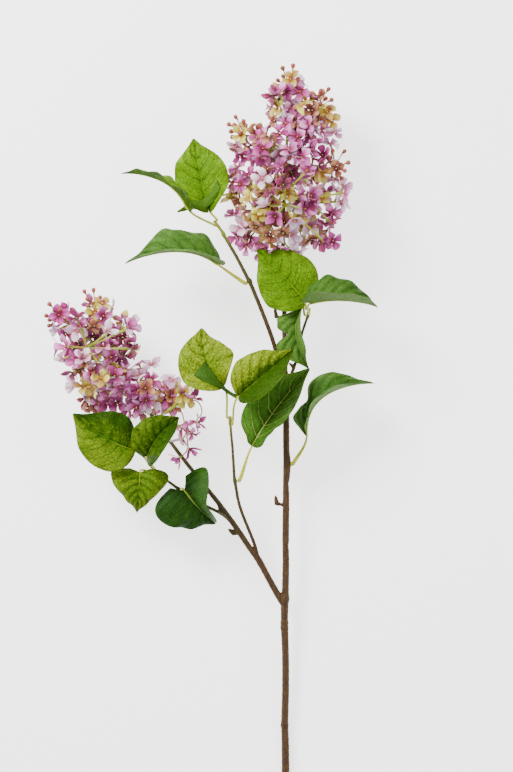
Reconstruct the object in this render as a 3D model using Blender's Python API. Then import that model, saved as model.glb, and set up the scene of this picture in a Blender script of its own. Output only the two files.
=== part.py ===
"""A flowering lilac stem, cut and laid on a surface: woody stem, fourteen leaves, two flower heads.

Units are metres. +Y runs along the stem from its cut end to the flowers, +X across it, +Z up from
the surface. Places are written on a layout sheet in millimetres: across from the sheet's left edge,
down from its top edge, and height above the surface.
"""

import math
import random

import bpy
from mathutils import Matrix, Vector

MM = 0.001

# The sheet's point that lies over the origin, the middle of the footprint.
SHEET_ACROSS = 211.75
SHEET_DOWN = 425.9

# Gap kept between pieces that meet.
SEAT_GAP = 0.3 * MM

# Leaves: the blade's thickness, and how a petiole tapers from the twig to the blade.
BLADE_THICKNESS = 0.9 * MM
PETIOLE_RADIUS_AT_BLADE = 0.9 * MM
MIDRIB_END_RADIUS = 0.5 * MM
MIDRIB_SHARE = 0.25
BLADE_STATIONS = (0.06, 0.19, 0.36, 0.55, 0.74, 0.89)
BLADE_COLUMNS = (-1.0, -0.5, 0.0, 0.5, 1.0)
CLOSED_SHARE = 0.45

# Florets and buds.
FLORET_RADIUS = 12.2 * MM
PETAL_THICKNESS = 0.8 * MM
THROAT_DEPTH = 0.3 * MM
# One petal from its notch: distance out as a share of the radius, turn in degrees, share of the cup.
PETAL_OUTLINE = ((0.40, -45.0, 0.0), (0.93, -26.0, 0.8), (0.99, 21.0, 1.0))
PEDICEL_RADIUS = 0.7 * MM
BUD_RADIUS = 2.2 * MM
BUD_LENGTH = 4.8 * MM
BUD_STALK_RADIUS = 0.5 * MM
GOLDEN_TURN = math.radians(137.5)

# Each floret's place is the roomiest of a few draws within these reaches from the spray's stalk.
PLACE_DRAWS = 24
PEDICEL_REACH = (10.5 * MM, 15.0 * MM)
CUP_RANGE = (-2.5 * MM, 4.0 * MM)
BUD_REACH = (11.0 * MM, 18.0 * MM)

# Radii of a flower head's axis and of a spray's stalk, root to tip.
AXIS_RADII = (2.1 * MM, 1.9 * MM, 1.6 * MM, 1.2 * MM)
STALK_RADII = (1.3 * MM, 1.1 * MM, 0.9 * MM)

# Stem outlines: across, down, height and radius in millimetres, from root to end. Places where the
# radius swells for a millimetre or two are the old leaf nodes.
MAIN_STEM = (
    (286.0, 786.0, 3.8, 4.1),
    (285.6, 750.0, 6.8, 3.9),
    (285.0, 731.0, 8.5, 3.8),
    (284.8, 727.0, 8.9, 4.4),
    (284.9, 723.0, 9.2, 3.8),
    (285.8, 690.0, 12.0, 3.7),
    (285.6, 655.0, 15.0, 3.7),
    (284.8, 632.0, 17.0, 3.8),
    (284.6, 629.0, 17.2, 4.5),
    (284.6, 626.5, 17.4, 3.9),
    (284.6, 624.0, 17.6, 4.4),
    (284.6, 620.0, 18.0, 3.8),
    (284.8, 606.0, 19.0, 4.0),
    (285.0, 600.0, 19.6, 4.9),
    (285.6, 592.0, 20.2, 3.7),
    (286.0, 560.0, 23.0, 3.5),
    (285.6, 545.0, 24.2, 3.2),
    (285.8, 541.0, 24.6, 3.6),
    (286.2, 500.0, 28.2, 3.5),
    (286.0, 483.0, 29.8, 3.0),
    (286.4, 480.0, 30.0, 3.5),
    (287.2, 464.0, 31.4, 4.0),
    (286.4, 448.0, 32.8, 3.4),
    (286.2, 412.0, 36.0, 3.3),
    (285.4, 378.0, 39.0, 3.4),
    (285.0, 366.0, 40.0, 2.7),
    (284.4, 330.0, 43.2, 2.5),
    (284.0, 290.0, 46.8, 2.4),
    (283.0, 253.0, 50.0, 2.2),
)
LEFT_BRANCH = (
    (285.0, 607.0, 18.8, 3.4),
    (278.5, 597.0, 20.4, 3.4),
    (268.0, 578.0, 23.0, 3.2),
    (258.5, 560.6, 25.6, 3.4),
    (250.0, 549.0, 27.6, 2.9),
    (238.0, 531.0, 30.4, 3.0),
    (222.6, 509.0, 33.8, 2.6),
    (207.0, 489.0, 37.0, 2.3),
    (204.5, 485.5, 37.6, 3.3),
    (201.5, 482.0, 38.0, 2.3),
    (187.0, 464.0, 40.4, 2.1),
    (174.0, 447.0, 42.2, 2.0),
    (166.0, 436.0, 43.2, 1.9),
)
MIDDLE_TWIG = (
    (259.5, 566.0, 25.0, 2.0),
    (254.5, 545.0, 29.5, 1.8),
    (240.5, 509.0, 38.0, 1.7),
    (235.6, 486.0, 43.4, 1.7),
    (235.0, 481.0, 44.6, 2.4),
    (234.2, 476.0, 45.8, 1.6),
    (232.6, 450.0, 51.6, 1.5),
    (230.6, 427.0, 57.0, 1.4),
    (230.4, 424.0, 57.6, 2.0),
    (230.0, 416.0, 59.4, 1.6),
)
LEFT_TWIG = (
    (243.0, 538.0, 29.0, 2.0),
    (226.0, 517.5, 31.0, 1.9),
    (208.0, 507.5, 33.0, 1.7),
    (192.0, 499.0, 34.4, 1.7),
    (180.0, 490.5, 36.0, 2.3),
    (174.0, 486.0, 37.4, 1.6),
    (161.0, 476.0, 42.0, 1.5),
    (149.0, 464.0, 47.6, 1.7),
)
RIGHT_TWIG = (
    (286.0, 388.0, 38.6, 1.6),
    (292.0, 373.0, 42.0, 1.7),
    (297.6, 356.0, 45.4, 1.5),
    (302.0, 334.0, 50.0, 1.4),
    (306.4, 320.0, 53.4, 1.4),
    (307.8, 316.0, 54.4, 2.0),
    (309.4, 308.0, 56.6, 1.6),
)
UPPER_TWIG = (
    (284.0, 392.0, 38.6, 2.2),
    (275.6, 350.0, 46.0, 2.3),
    (265.4, 320.0, 51.0, 2.2),
    (251.6, 286.0, 56.6, 2.1),
    (249.4, 281.0, 57.4, 2.9),
    (247.0, 277.0, 58.2, 2.0),
    (236.0, 256.0, 61.6, 1.8),
    (225.4, 238.0, 64.6, 1.7),
    (223.6, 234.6, 65.2, 2.5),
    (221.6, 231.0, 65.8, 1.6),
    (214.0, 221.0, 67.8, 1.6),
)
# Bud scales: root on the wood, belly and tip, then the belly's radius.
BUD_SCALES = (
    ((285.5, 506.5, 28.0), (276.6, 504.0, 28.6), (275.6, 495.0, 29.2), 2.6),
    ((284.2, 319.0, 44.2), (276.2, 316.6, 44.8), (274.6, 306.0, 45.2), 2.3),
    ((240.0, 534.5, 30.0), (233.6, 533.6, 29.0), (227.6, 529.2, 28.4), 2.7),
    ((228.0, 516.5, 33.0), (221.6, 511.6, 34.4), (217.6, 506.4, 35.4), 2.3),
    ((294.2, 370.0, 42.4), (291.4, 365.0, 44.0), (288.6, 362.4, 44.6), 1.5),
)

# Leaves. "node" is the stem outline and the station that carries the leaf, and how far back from
# that station it sits. Then the blade's base, the middle of the midrib and the tip, the direction
# its upper face looks in, its width, where it is widest and how sharply it narrows. "fold" says how
# far the left and right halves fold up from flat, "closed" how much more they do at the base, and
# "twist" how far the blade turns. "lobe" is how far the base's lobes reach back, and "sheath" the
# petiole's radius where it leaves the wood.
LEAVES = {
    "leaf_upper_face": dict(
        node=(UPPER_TWIG, -1, 1.5), base=(208.5, 209.0, 71.0), middle=(200.5, 176.0, 72.5),
        tip=(193.5, 138.5, 65.0), face=(0.05, -0.08, 1.0), width=55, widest=0.46, narrows=0.72,
        fold=(6, 6), closed=(34, 50), twist=0, lobe=0.06, sheath=1.2),
    "leaf_upper_left": dict(
        node=(UPPER_TWIG, -1, 5.0), base=(187.0, 207.5, 93.0), middle=(163.5, 183.0, 101.0),
        tip=(121.5, 173.5, 86.0), face=(0.26, 0.90, 0.30), width=32, widest=0.45, narrows=0.72,
        fold=(30, 6), closed=(14, 14), twist=18, lobe=0.10, sheath=1.2),
    "leaf_upper_low": dict(
        node=(UPPER_TWIG, 4, 0.0), base=(217.0, 264.0, 70.0), middle=(177.0, 252.0, 80.0),
        tip=(124.0, 263.5, 60.0), face=(0.0, 0.62, 0.76), width=50, widest=0.32, narrows=0.72,
        fold=(54, 8), closed=(0, 0), twist=-6, lobe=0.04, sheath=2.0),
    "leaf_right_face": dict(
        node=(RIGHT_TWIG, -1, 1.5), base=(304.0, 300.0, 62.0), middle=(283.5, 276.5, 66.0),
        tip=(257.0, 249.5, 67.0), face=(0.04, 0.0, 1.0), width=61, widest=0.41, narrows=0.72,
        fold=(2, 2), closed=(8, 8), twist=0, lobe=0.08, sheath=1.2),
    "leaf_right_side": dict(
        node=(RIGHT_TWIG, -1, 5.5), base=(311.0, 303.5, 79.0), middle=(343.0, 301.0, 86.0),
        tip=(378.5, 307.0, 66.0), face=(-0.02, 0.40, 0.92), width=50, widest=0.34, narrows=0.72,
        fold=(6, 84), closed=(0, 8), twist=0, lobe=0.10, sheath=1.2),
    "leaf_right_hanging": dict(
        node=(RIGHT_TWIG, -2, 0.0), base=(302.5, 306.5, 55.0), middle=(296.0, 336.0, 57.0),
        tip=(309.5, 369.5, 50.0), face=(-0.06, 0.0, 1.0), width=42, widest=0.50, narrows=0.90,
        fold=(72, 6), closed=(0, 0), twist=-10, lobe=0.0, sheath=1.2),
    "leaf_middle_face": dict(
        node=(MIDDLE_TWIG, -1, 1.5), base=(222.5, 385.0, 68.0), middle=(206.0, 361.0, 71.0),
        tip=(202.0, 327.5, 64.0), face=(0.0, -0.04, 1.0), width=57, widest=0.46, narrows=0.72,
        fold=(3, 5), closed=(45, 45), twist=0, lobe=0.03, sheath=1.2),
    "leaf_middle_folded": dict(
        node=(MIDDLE_TWIG, -2, 0.0), base=(239.0, 396.0, 80.0), middle=(264.5, 374.5, 86.0),
        tip=(293.5, 349.5, 78.0), face=(0.0, 0.0, 1.0), width=54, widest=0.38, narrows=0.72,
        fold=(4, 54), closed=(4, 4), twist=0, lobe=0.02, sheath=1.2),
    "leaf_middle_large": dict(
        node=(MIDDLE_TWIG, 4, 0.0), base=(252.0, 446.0, 55.0), middle=(276.0, 409.0, 60.0),
        tip=(310.0, 368.5, 58.0), face=(0.05, 0.0, 1.0), width=56, widest=0.44, narrows=0.62,
        fold=(2, 62), closed=(0, -16), twist=0, lobe=0.0, sheath=2.0),
    "leaf_stem_right": dict(
        node=(MAIN_STEM, 21, 0.0), base=(306.5, 437.0, 44.0), middle=(322.0, 398.0, 56.0),
        tip=(375.0, 382.5, 46.0), face=(-0.45, 0.53, 0.72), width=46, widest=0.58, narrows=0.85,
        fold=(10, 54), closed=(0, 0), twist=0, lobe=0.0, sheath=2.1),
    "leaf_left_face": dict(
        node=(LEFT_TWIG, -1, 1.5), base=(134.0, 449.0, 63.0), middle=(106.0, 438.0, 69.0),
        tip=(73.0, 413.5, 68.0), face=(0.0, 0.0, 1.0), width=60, widest=0.43, narrows=0.70,
        fold=(4, 5), closed=(10, 10), twist=0, lobe=0.03, sheath=1.2),
    "leaf_left_folded": dict(
        node=(LEFT_TWIG, -1, 6.0), base=(147.5, 456.0, 70.0), middle=(160.0, 435.0, 83.0),
        tip=(180.0, 417.0, 76.0), face=(-0.06, 0.0, 1.0), width=48, widest=0.38, narrows=0.70,
        fold=(6, 56), closed=(0, 0), twist=0, lobe=0.08, sheath=1.2),
    "leaf_left_pointed": dict(
        node=(LEFT_TWIG, -1, 10.5), base=(140.0, 472.0, 56.0), middle=(138.5, 493.0, 55.0),
        tip=(136.5, 514.5, 40.0), face=(0.0, -0.25, 0.97), width=58, widest=0.16, narrows=1.05,
        fold=(4, 4), closed=(0, 0), twist=0, lobe=0.08, sheath=1.2),
    "leaf_left_dark": dict(
        node=(LEFT_TWIG, 4, 0.0), base=(184.0, 490.0, 52.0), middle=(198.5, 507.5, 49.0),
        tip=(216.0, 525.0, 33.0), face=(0.0, 0.0, 1.0), width=76, widest=0.26, narrows=0.80,
        fold=(78, -4), closed=(-66, 0), twist=0, lobe=0.20, sheath=1.4),
}

# Flower heads. The axis runs from the stem's end to the tip. Each spray leaves the axis at a share
# of its length and ends at a place on the sheet. Then come its counts of buds and of florets; a
# spray with no bud ends in a floret more.
TOP_HEAD = dict(
    name="flower_head_top", seed=11,
    axis=((283.0, 253.0, 50.0), (283.5, 215.0, 52.0), (286.0, 160.0, 53.0), (289.0, 98.0, 54.0)),
    sprays=(
        (0.97, (290.0, 84.0, 56.0), 5, 3),
        (0.80, (317.0, 108.0, 58.0), 5, 3),
        (0.64, (243.0, 135.0, 60.0), 5, 4),
        (0.46, (334.0, 168.0, 62.0), 5, 4),
        (0.36, (241.0, 184.0, 62.0), 2, 4),
        (0.24, (334.0, 202.0, 54.0), 0, 3),
        (0.12, (318.0, 230.0, 50.0), 0, 3),
        (0.12, (251.0, 231.0, 50.0), 0, 3),
        (0.86, (281.0, 112.0, 66.0), 0, 2),
        (0.72, (304.0, 128.0, 76.0), 0, 3),
        (0.62, (268.0, 150.0, 84.0), 0, 4),
        (0.46, (298.0, 162.0, 90.0), 0, 4),
        (0.36, (266.0, 182.0, 90.0), 0, 4),
        (0.22, (256.0, 210.0, 82.0), 2, 3),
        (0.20, (306.0, 200.0, 88.0), 0, 4),
        (0.08, (284.0, 226.0, 82.0), 0, 3),
        (0.80, (300.0, 122.0, 28.0), 0, 2),
        (0.56, (260.0, 154.0, 18.0), 0, 2),
        (0.42, (308.0, 178.0, 16.0), 0, 2),
        (0.22, (264.0, 208.0, 14.0), 0, 2),
        (0.14, (304.0, 222.0, 18.0), 0, 1),
    ),
)
LEFT_HEAD = dict(
    name="flower_head_left", seed=23,
    axis=((166.0, 436.0, 43.2), (146.0, 408.0, 44.0), (112.0, 366.0, 44.0), (84.0, 332.0, 45.0)),
    sprays=(
        (0.96, (61.0, 317.0, 50.0), 5, 4),
        (0.86, (95.0, 305.0, 50.0), 5, 3),
        (0.68, (122.0, 328.0, 52.0), 0, 3),
        (0.62, (66.0, 350.0, 46.0), 0, 3),
        (0.36, (84.0, 386.0, 48.0), 0, 4),
        (0.38, (146.0, 372.0, 52.0), 0, 3),
        (0.20, (178.0, 392.0, 50.0), 3, 3),
        (0.03, (190.0, 424.0, 46.0), 0, 2),
        (0.84, (82.0, 334.0, 72.0), 0, 3),
        (0.62, (106.0, 350.0, 78.0), 0, 4),
        (0.44, (118.0, 378.0, 76.0), 0, 4),
        (0.24, (140.0, 398.0, 62.0), 0, 3),
        (0.76, (98.0, 334.0, 20.0), 0, 2),
        (0.48, (104.0, 374.0, 14.0), 0, 2),
        (0.24, (156.0, 394.0, 14.0), 0, 1),
    ),
)

COLOURS = {
    "bark": ((0.16, 0.085, 0.04, 1.0), 0.8),
    "leaf": ((0.11, 0.24, 0.03, 1.0), 0.55),
    "petal": ((0.50, 0.20, 0.48, 1.0), 0.7),
}


def material(name):
    """The named Principled material, made on first use."""
    found = bpy.data.materials.get(name)
    if found:
        return found
    colour, roughness = COLOURS[name]
    made = bpy.data.materials.new(name)
    made.use_nodes = True
    shader = made.node_tree.nodes["Principled BSDF"]
    shader.inputs["Base Color"].default_value = colour
    shader.inputs["Roughness"].default_value = roughness
    shader.inputs["Metallic"].default_value = 0.0
    made.diffuse_color = colour
    return made


def on_sheet(place):
    """A place on the layout sheet, as a point in the part's frame in metres."""
    across, down, height = place[:3]
    return Vector((across - SHEET_ACROSS, SHEET_DOWN - down, height)) * MM


def make_object(name, points, faces, material_name):
    """One mesh object, linked to the scene."""
    mesh = bpy.data.meshes.new(name)
    mesh.from_pydata(points, [], faces)
    mesh.materials.append(material(material_name))
    made = bpy.data.objects.new(name, mesh)
    bpy.context.scene.collection.objects.link(made)
    return made


def fused(name, pieces):
    """The pieces joined into one body by one Boolean union, under the first piece's material."""
    body = pieces[0]
    rest = bpy.data.collections.new(name + "_pieces")
    bpy.context.scene.collection.children.link(rest)
    for piece in pieces[1:]:
        rest.objects.link(piece)
        bpy.context.scene.collection.objects.unlink(piece)
    union = body.modifiers.new("union", "BOOLEAN")
    union.operation = "UNION"
    union.operand_type = "COLLECTION"
    union.collection = rest
    union.solver = "MANIFOLD"
    graph = bpy.context.evaluated_depsgraph_get()
    joined = bpy.data.meshes.new_from_object(body.evaluated_get(graph))
    body.modifiers.clear()
    body.data = joined
    for piece in pieces[1:]:
        bpy.data.objects.remove(piece)
    bpy.data.collections.remove(rest)
    body.name = name
    joined.name = name
    return body


def across_to(direction):
    """Any unit vector at right angles to a direction, level where that is possible."""
    level = direction.cross(Vector((0.0, 0.0, 1.0)))
    if level.length < 1e-6:
        level = Vector((1.0, 0.0, 0.0))
    return level.normalized()


def rings_along(points, radii, sides):
    """Ring points round a line, each ring square to the line there, starting below the line."""
    rings = []
    last = len(points) - 1
    for i, (point, radius) in enumerate(zip(points, radii)):
        ahead = (points[min(i + 1, last)] - points[max(i - 1, 0)]).normalized()
        side = across_to(ahead)
        up = side.cross(ahead)
        turn = 2.0 * math.pi / sides
        rings.append([
            point + (side * math.sin((k + 0.5) * turn) - up * math.cos((k + 0.5) * turn)) * radius
            for k in range(sides)
        ])
    return rings


def skin(rings):
    """Points and faces of a closed tube through rings of equal counts."""
    sides = len(rings[0])
    points = [p for ring in rings for p in ring]
    faces = [tuple(range(sides))]
    for i in range(len(rings) - 1):
        low = i * sides
        for k in range(sides):
            n = (k + 1) % sides
            faces.append((low + n, low + k, low + sides + k, low + sides + n))
    top = (len(rings) - 1) * sides
    faces.append(tuple(range(top + sides - 1, top - 1, -1)))
    return points, faces


def tube(name, points, radii, sides, material_name):
    """A closed tube object that tapers along a line."""
    return make_object(name, *skin(rings_along(points, radii, sides)), material_name)


def curve_through(places, longest):
    """Points and radii of a smooth line through (x, y, z, radius) places, no step over longest."""
    points, radii = [], []
    line = [on_sheet(p) for p in places]
    sizes = [p[3] * MM for p in places]
    last = len(line) - 1
    for i in range(last):
        before, start = line[max(i - 1, 0)], line[i]
        end, after = line[i + 1], line[min(i + 2, last)]
        steps = max(1, round((end - start).length / longest))
        for k in range(steps):
            t = k / steps
            points.append(0.5 * (
                2.0 * start + (end - before) * t
                + (2.0 * before - 5.0 * start + 4.0 * end - after) * t ** 2
                + (3.0 * start - before - 3.0 * end + after) * t ** 3))
            radii.append(sizes[i] + (sizes[i + 1] - sizes[i]) * t)
    points.append(line[-1])
    radii.append(sizes[-1])
    return points, radii


def build_wood():
    """The main stem, its branch, four twigs and the bud scales, grown as one body."""
    stems = (
        (MAIN_STEM, 8, 40), (LEFT_BRANCH, 7, 40), (MIDDLE_TWIG, 6, 40),
        (LEFT_TWIG, 6, 40), (RIGHT_TWIG, 6, 40), (UPPER_TWIG, 6, 40),
    )
    pieces = []
    for outline, sides, longest in stems:
        points, radii = curve_through(outline, longest * MM)
        pieces.append(tube("stem", points, radii, sides, "bark"))
    for root, belly, tip, radius in BUD_SCALES:
        line = [on_sheet(p) for p in (root, belly, tip)]
        sizes = [0.7 * MM, radius * MM, 0.3 * MM]
        pieces.append(tube("scale", line, sizes, 5, "bark"))
    return fused("woody_stem", pieces)


def blade_share(leaf, s):
    """Half width of the blade at a share s of its length, as a share of the largest."""
    power = math.log(0.5) / math.log(leaf["widest"])
    return max(0.0, math.sin(math.pi * s ** power)) ** leaf["narrows"]


def smooth_step(t):
    """0 below 0, 1 above 1, and smooth between."""
    t = min(max(t, 0.0), 1.0)
    return t * t * (3.0 - 2.0 * t)


def midrib(leaf, s):
    """The midrib's point, direction and upward normal at a share s of the blade's length."""
    base, middle, tip = (on_sheet(leaf[k]) for k in ("base", "middle", "tip"))
    pull = 2.0 * middle - 0.5 * (base + tip)
    point = base * (1 - s) ** 2 + pull * 2 * s * (1 - s) + tip * s ** 2
    ahead = ((pull - base) * (1 - s) + (tip - pull) * s).normalized()
    face = Vector(leaf["face"])
    face = Matrix.Rotation(math.radians(leaf["twist"]) * (s - 0.4), 3, ahead) @ face
    normal = (face - ahead * face.dot(ahead)).normalized()
    return point, ahead, normal


def blade_point(leaf, s, u):
    """A point of the blade's middle surface: s along the midrib, u across from -1 to 1."""
    point, ahead, normal = midrib(leaf, s)
    side = ahead.cross(normal)
    length = (on_sheet(leaf["tip"]) - on_sheet(leaf["base"])).length
    half = 0.5 * leaf["width"] * MM * blade_share(leaf, s)
    half_of_two = 0 if u < 0 else 1
    closing = leaf["closed"][half_of_two] * (1.0 - smooth_step(s / CLOSED_SHARE))
    fold = math.radians(leaf["fold"][half_of_two] + closing)
    bow = 0.10 * half * (1.0 - (2.0 * abs(u) - 1.0) ** 2)
    wave = 0.05 * half * math.sin(9.0 * s + (1.3 if u < 0 else 3.1)) * u * u
    lobe = leaf["lobe"] * length * (1.0 - smooth_step(s / 0.55)) * abs(u) ** 1.3
    out = abs(u) * half
    return (point + side * math.copysign(out * math.cos(fold), u)
            + normal * (out * math.sin(fold) + bow + wave) - ahead * lobe)


def blade_normal(leaf, s, u):
    """The upward normal of the blade's middle surface."""
    step = 0.02
    low, high = max(s - step, 0.004), min(s + step, 0.996)
    left, right = max(u - step, -1.0), min(u + step, 1.0)
    along = blade_point(leaf, high, u) - blade_point(leaf, low, u)
    over = blade_point(leaf, s, right) - blade_point(leaf, s, left)
    return over.cross(along).normalized()


def build_blade(leaf):
    """The blade: two faces split into triangles alike, and the rim between them."""
    places = [(0.0, 0.0)]
    places += [(s, u) for s in BLADE_STATIONS for u in BLADE_COLUMNS]
    places += [(1.0, 0.0)]
    wide = len(BLADE_COLUMNS)
    rows = len(BLADE_STATIONS)
    end = len(places) - 1
    upper = []
    for k in range(wide - 1):
        upper.append((0, 2 + k, 1 + k))
    for r in range(rows - 1):
        for k in range(wide - 1):
            a = 1 + r * wide + k
            b, c, d = a + 1, a + wide, a + wide + 1
            upper += [(a, b, d), (a, d, c)] if k >= wide // 2 else [(a, b, c), (b, d, c)]
    first = 1 + (rows - 1) * wide
    for k in range(wide - 1):
        upper.append((first + k, first + k + 1, end))
    rim = [0] + [1 + r * wide for r in range(rows)] + [end]
    rim += [(r + 1) * wide for r in range(rows - 1, -1, -1)]
    above, below = [], []
    for s, u in places:
        middle = blade_point(leaf, s, u)
        offset = blade_normal(leaf, min(max(s, 0.03), 0.97), u) * (BLADE_THICKNESS / 2)
        above.append(middle + offset)
        below.append(middle - offset)
    count = len(places)
    faces = list(upper)
    faces += [(c + count, b + count, a + count) for a, b, c in upper]
    for a, b in zip(rim, rim[1:] + rim[:1]):
        faces += [(a, b, b + count), (a, b + count, a + count)]
    return make_object("blade", above + below, faces, "leaf")


def leaf_seat(leaf):
    """Where a petiole leaves the wood: a point just off its surface, and the way straight out."""
    outline, station, back = leaf["node"]
    index = station % len(outline)
    here = on_sheet(outline[index])
    before = on_sheet(outline[max(index - 1, 0)])
    after = on_sheet(outline[min(index + 1, len(outline) - 1)])
    grain = (after - before).normalized()
    centre = here - grain * back * MM
    towards = on_sheet(leaf["base"]) - centre
    outwards = (towards - grain * towards.dot(grain)).normalized()
    return centre + outwards * (outline[index][3] * MM + SEAT_GAP), outwards


def petiole_line(leaf):
    """Points and radii from the wood to the blade, and on under the blade as its midrib."""
    root, outwards = leaf_seat(leaf)
    base = on_sheet(leaf["base"])
    _, ahead, _ = midrib(leaf, 0.0)
    span = (base - root).length
    knee = root + outwards * leaf["sheath"] * MM
    first = knee + (base - root).normalized() * 0.25 * span
    second = base - ahead * 0.3 * span
    sheath = leaf["sheath"] * MM
    line, radii = [root], [sheath]
    for t in (0.0, 0.4, 0.9):
        line.append(knee * (1 - t) ** 3 + first * 3 * t * (1 - t) ** 2
                    + second * 3 * t * t * (1 - t) + base * t ** 3)
        radii.append(sheath + (PETIOLE_RADIUS_AT_BLADE - sheath) * smooth_step(t))
    point, _, normal = midrib(leaf, MIDRIB_SHARE)
    line.append(point - normal * 0.5 * BLADE_THICKNESS)
    radii.append(MIDRIB_END_RADIUS)
    return line, radii


def build_leaf(name, leaf):
    """A blade fused with the petiole that carries it."""
    return fused(name, [build_blade(leaf), tube("petiole", *petiole_line(leaf), 4, "leaf")])


def build_floret(root, centre, facing, roll, cup):
    """Four petals on a flared tube, one closed mesh. cup lifts the petal tips, or drops them."""
    side = across_to(facing)
    up = facing.cross(side)
    outline = []
    for k in range(4):
        for radius, turn, lift in PETAL_OUTLINE:
            angle = roll + k * math.pi / 2 + math.radians(turn)
            out = side * math.cos(angle) + up * math.sin(angle)
            outline.append(centre + out * radius * FLORET_RADIUS + facing * lift * cup)
    back = -facing * PETAL_THICKNESS
    lowest = min(min(p.z, (p + back).z) for p in outline)
    if lowest < 0.0:
        lift = Vector((0.0, 0.0, -lowest))
        outline = [p + lift for p in outline]
        centre = centre + lift
    along = (centre - root).normalized()
    foot_side = (side - along * side.dot(along)).normalized()
    foot_up = along.cross(foot_side)
    foot = []
    for k in range(4):
        angle = roll + (k - 0.5) * math.pi / 2
        out = foot_side * math.cos(angle) + foot_up * math.sin(angle)
        foot.append(root + out * PEDICEL_RADIUS)
    points = outline + [p + back for p in outline] + foot + [centre - facing * THROAT_DEPTH]
    faces = []
    for i in range(12):
        n = (i + 1) % 12
        faces += [(28, i, n), (i, i + 12, n + 12), (i, n + 12, n)]
    for k in range(4):
        notch, shoulder, tip = 12 + 3 * k, 13 + 3 * k, 14 + 3 * k
        following = 12 + (3 * k + 3) % 12
        faces += [(notch, tip, shoulder), (notch, following, tip)]
        faces.append((notch, 24 + k, 24 + (k + 1) % 4, following))
    faces.append((27, 26, 25, 24))
    return make_object("floret", points, faces, "petal")


def build_bud(root, centre, facing):
    """A closed bud on its thin stalk."""
    line = [root, centre - facing * 0.5 * BUD_LENGTH, centre, centre + facing * 0.5 * BUD_LENGTH]
    radii = [BUD_STALK_RADIUS, BUD_STALK_RADIUS, BUD_RADIUS, 0.35 * BUD_RADIUS]
    return tube("bud", line, radii, 4, "petal")


def axis_point(line, share):
    """The point at a share of a line's length."""
    lengths = [(b - a).length for a, b in zip(line, line[1:])]
    left = share * sum(lengths)
    for (a, b), length in zip(zip(line, line[1:]), lengths):
        if left <= length:
            return a.lerp(b, left / length)
        left -= length
    return line[-1].copy()


def spray_line(head_line, share, tip):
    """A spray's stalk: it leaves the axis leaning towards the head's tip and bows outwards."""
    root = axis_point(head_line, share)
    ahead = (head_line[-1] - head_line[0]).normalized()
    bend = root.lerp(tip, 0.5) + ahead * 0.12 * (tip - root).length
    return [root, root.lerp(bend, 0.55) * 0.5 + bend * 0.5, tip]


def lean_from(ahead, turn, lean):
    """The direction that leans away from ahead, at a turn round it."""
    out = Matrix.Rotation(turn, 3, ahead) @ across_to(ahead)
    return (ahead * math.cos(lean) + out * math.sin(lean)).normalized()


def roomiest(draw, stalk, ahead, along, leans, taken):
    """Of several draws of a floret's place on a spray, the one with most room round it."""
    best = None
    for _ in range(PLACE_DRAWS):
        root = axis_point(stalk, min(along + draw.uniform(-0.06, 0.06), 0.97))
        facing = lean_from(ahead, draw.uniform(0.0, 2.0 * math.pi), math.radians(draw.uniform(*leans)))
        centre = root + facing * draw.uniform(*PEDICEL_REACH)
        room = min([(centre - other).length for other in taken] + [2.4 * FLORET_RADIUS])
        room -= 0.5 * max(0.0, FLORET_RADIUS * 0.4 - centre.z)
        if best is None or room > best[0]:
            best = (room, root, centre, facing)
    taken.append(best[2])
    return best[1:]


def build_head(head):
    """A panicle: axis, sprays, florets round each spray's outer half, and buds at some tips."""
    draw = random.Random(head["seed"])
    line = [on_sheet(p) for p in head["axis"]]
    axis = [line[0] + (line[1] - line[0]).normalized() * SEAT_GAP] + line[1:]
    pieces = [tube("axis", axis, AXIS_RADII, 6, "petal")]
    taken = []
    for share, place, buds, florets in head["sprays"]:
        stalk = spray_line(line, share, on_sheet(place))
        pieces.append(tube("stalk", stalk, STALK_RADII, 4, "petal"))
        ahead = (stalk[2] - stalk[1]).normalized()
        if buds == 0:
            taken.append(stalk[2] + ahead * PEDICEL_REACH[0])
            pieces.append(build_floret(stalk[2], taken[-1], ahead, draw.uniform(0.0, 1.5),
                                       draw.uniform(*CUP_RANGE)))
        for i in range(florets):
            along = 0.45 + 0.5 * (i + 0.5) / florets
            leans = (70.0 - 30.0 * along, 96.0 - 36.0 * along)
            root, centre, facing = roomiest(draw, stalk, ahead, along, leans, taken)
            pieces.append(build_floret(root, centre, facing, draw.uniform(0.0, 1.5),
                                       draw.uniform(*CUP_RANGE)))
        for i in range(buds):
            lean = math.radians(12.0 + 44.0 * i / buds)
            facing = lean_from(ahead, i * GOLDEN_TURN + draw.uniform(0.0, 0.6), lean)
            reach = draw.uniform(*BUD_REACH)
            pieces.append(build_bud(stalk[2] - ahead * MM, stalk[2] + facing * reach, facing))
    return fused(head["name"], pieces)


def main():
    """Empties the scene and builds the whole stem."""
    for old in list(bpy.data.objects):
        bpy.data.objects.remove(old)
    build_wood()
    for name, leaf in LEAVES.items():
        build_leaf(name, leaf)
    build_head(TOP_HEAD)
    build_head(LEFT_HEAD)


main()
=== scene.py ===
"""A lilac stem laid on a pale surface: bark, veined leaves, cloth florets, stalks and buds.

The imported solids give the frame. Each piece here stands for one of them and keeps its form. Units
are metres: +Y runs along the stem from its cut end to the flowers, +X across it, +Z up. Places are
written on the same layout sheet as the solids: across, down and height, in millimetres.
"""

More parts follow.
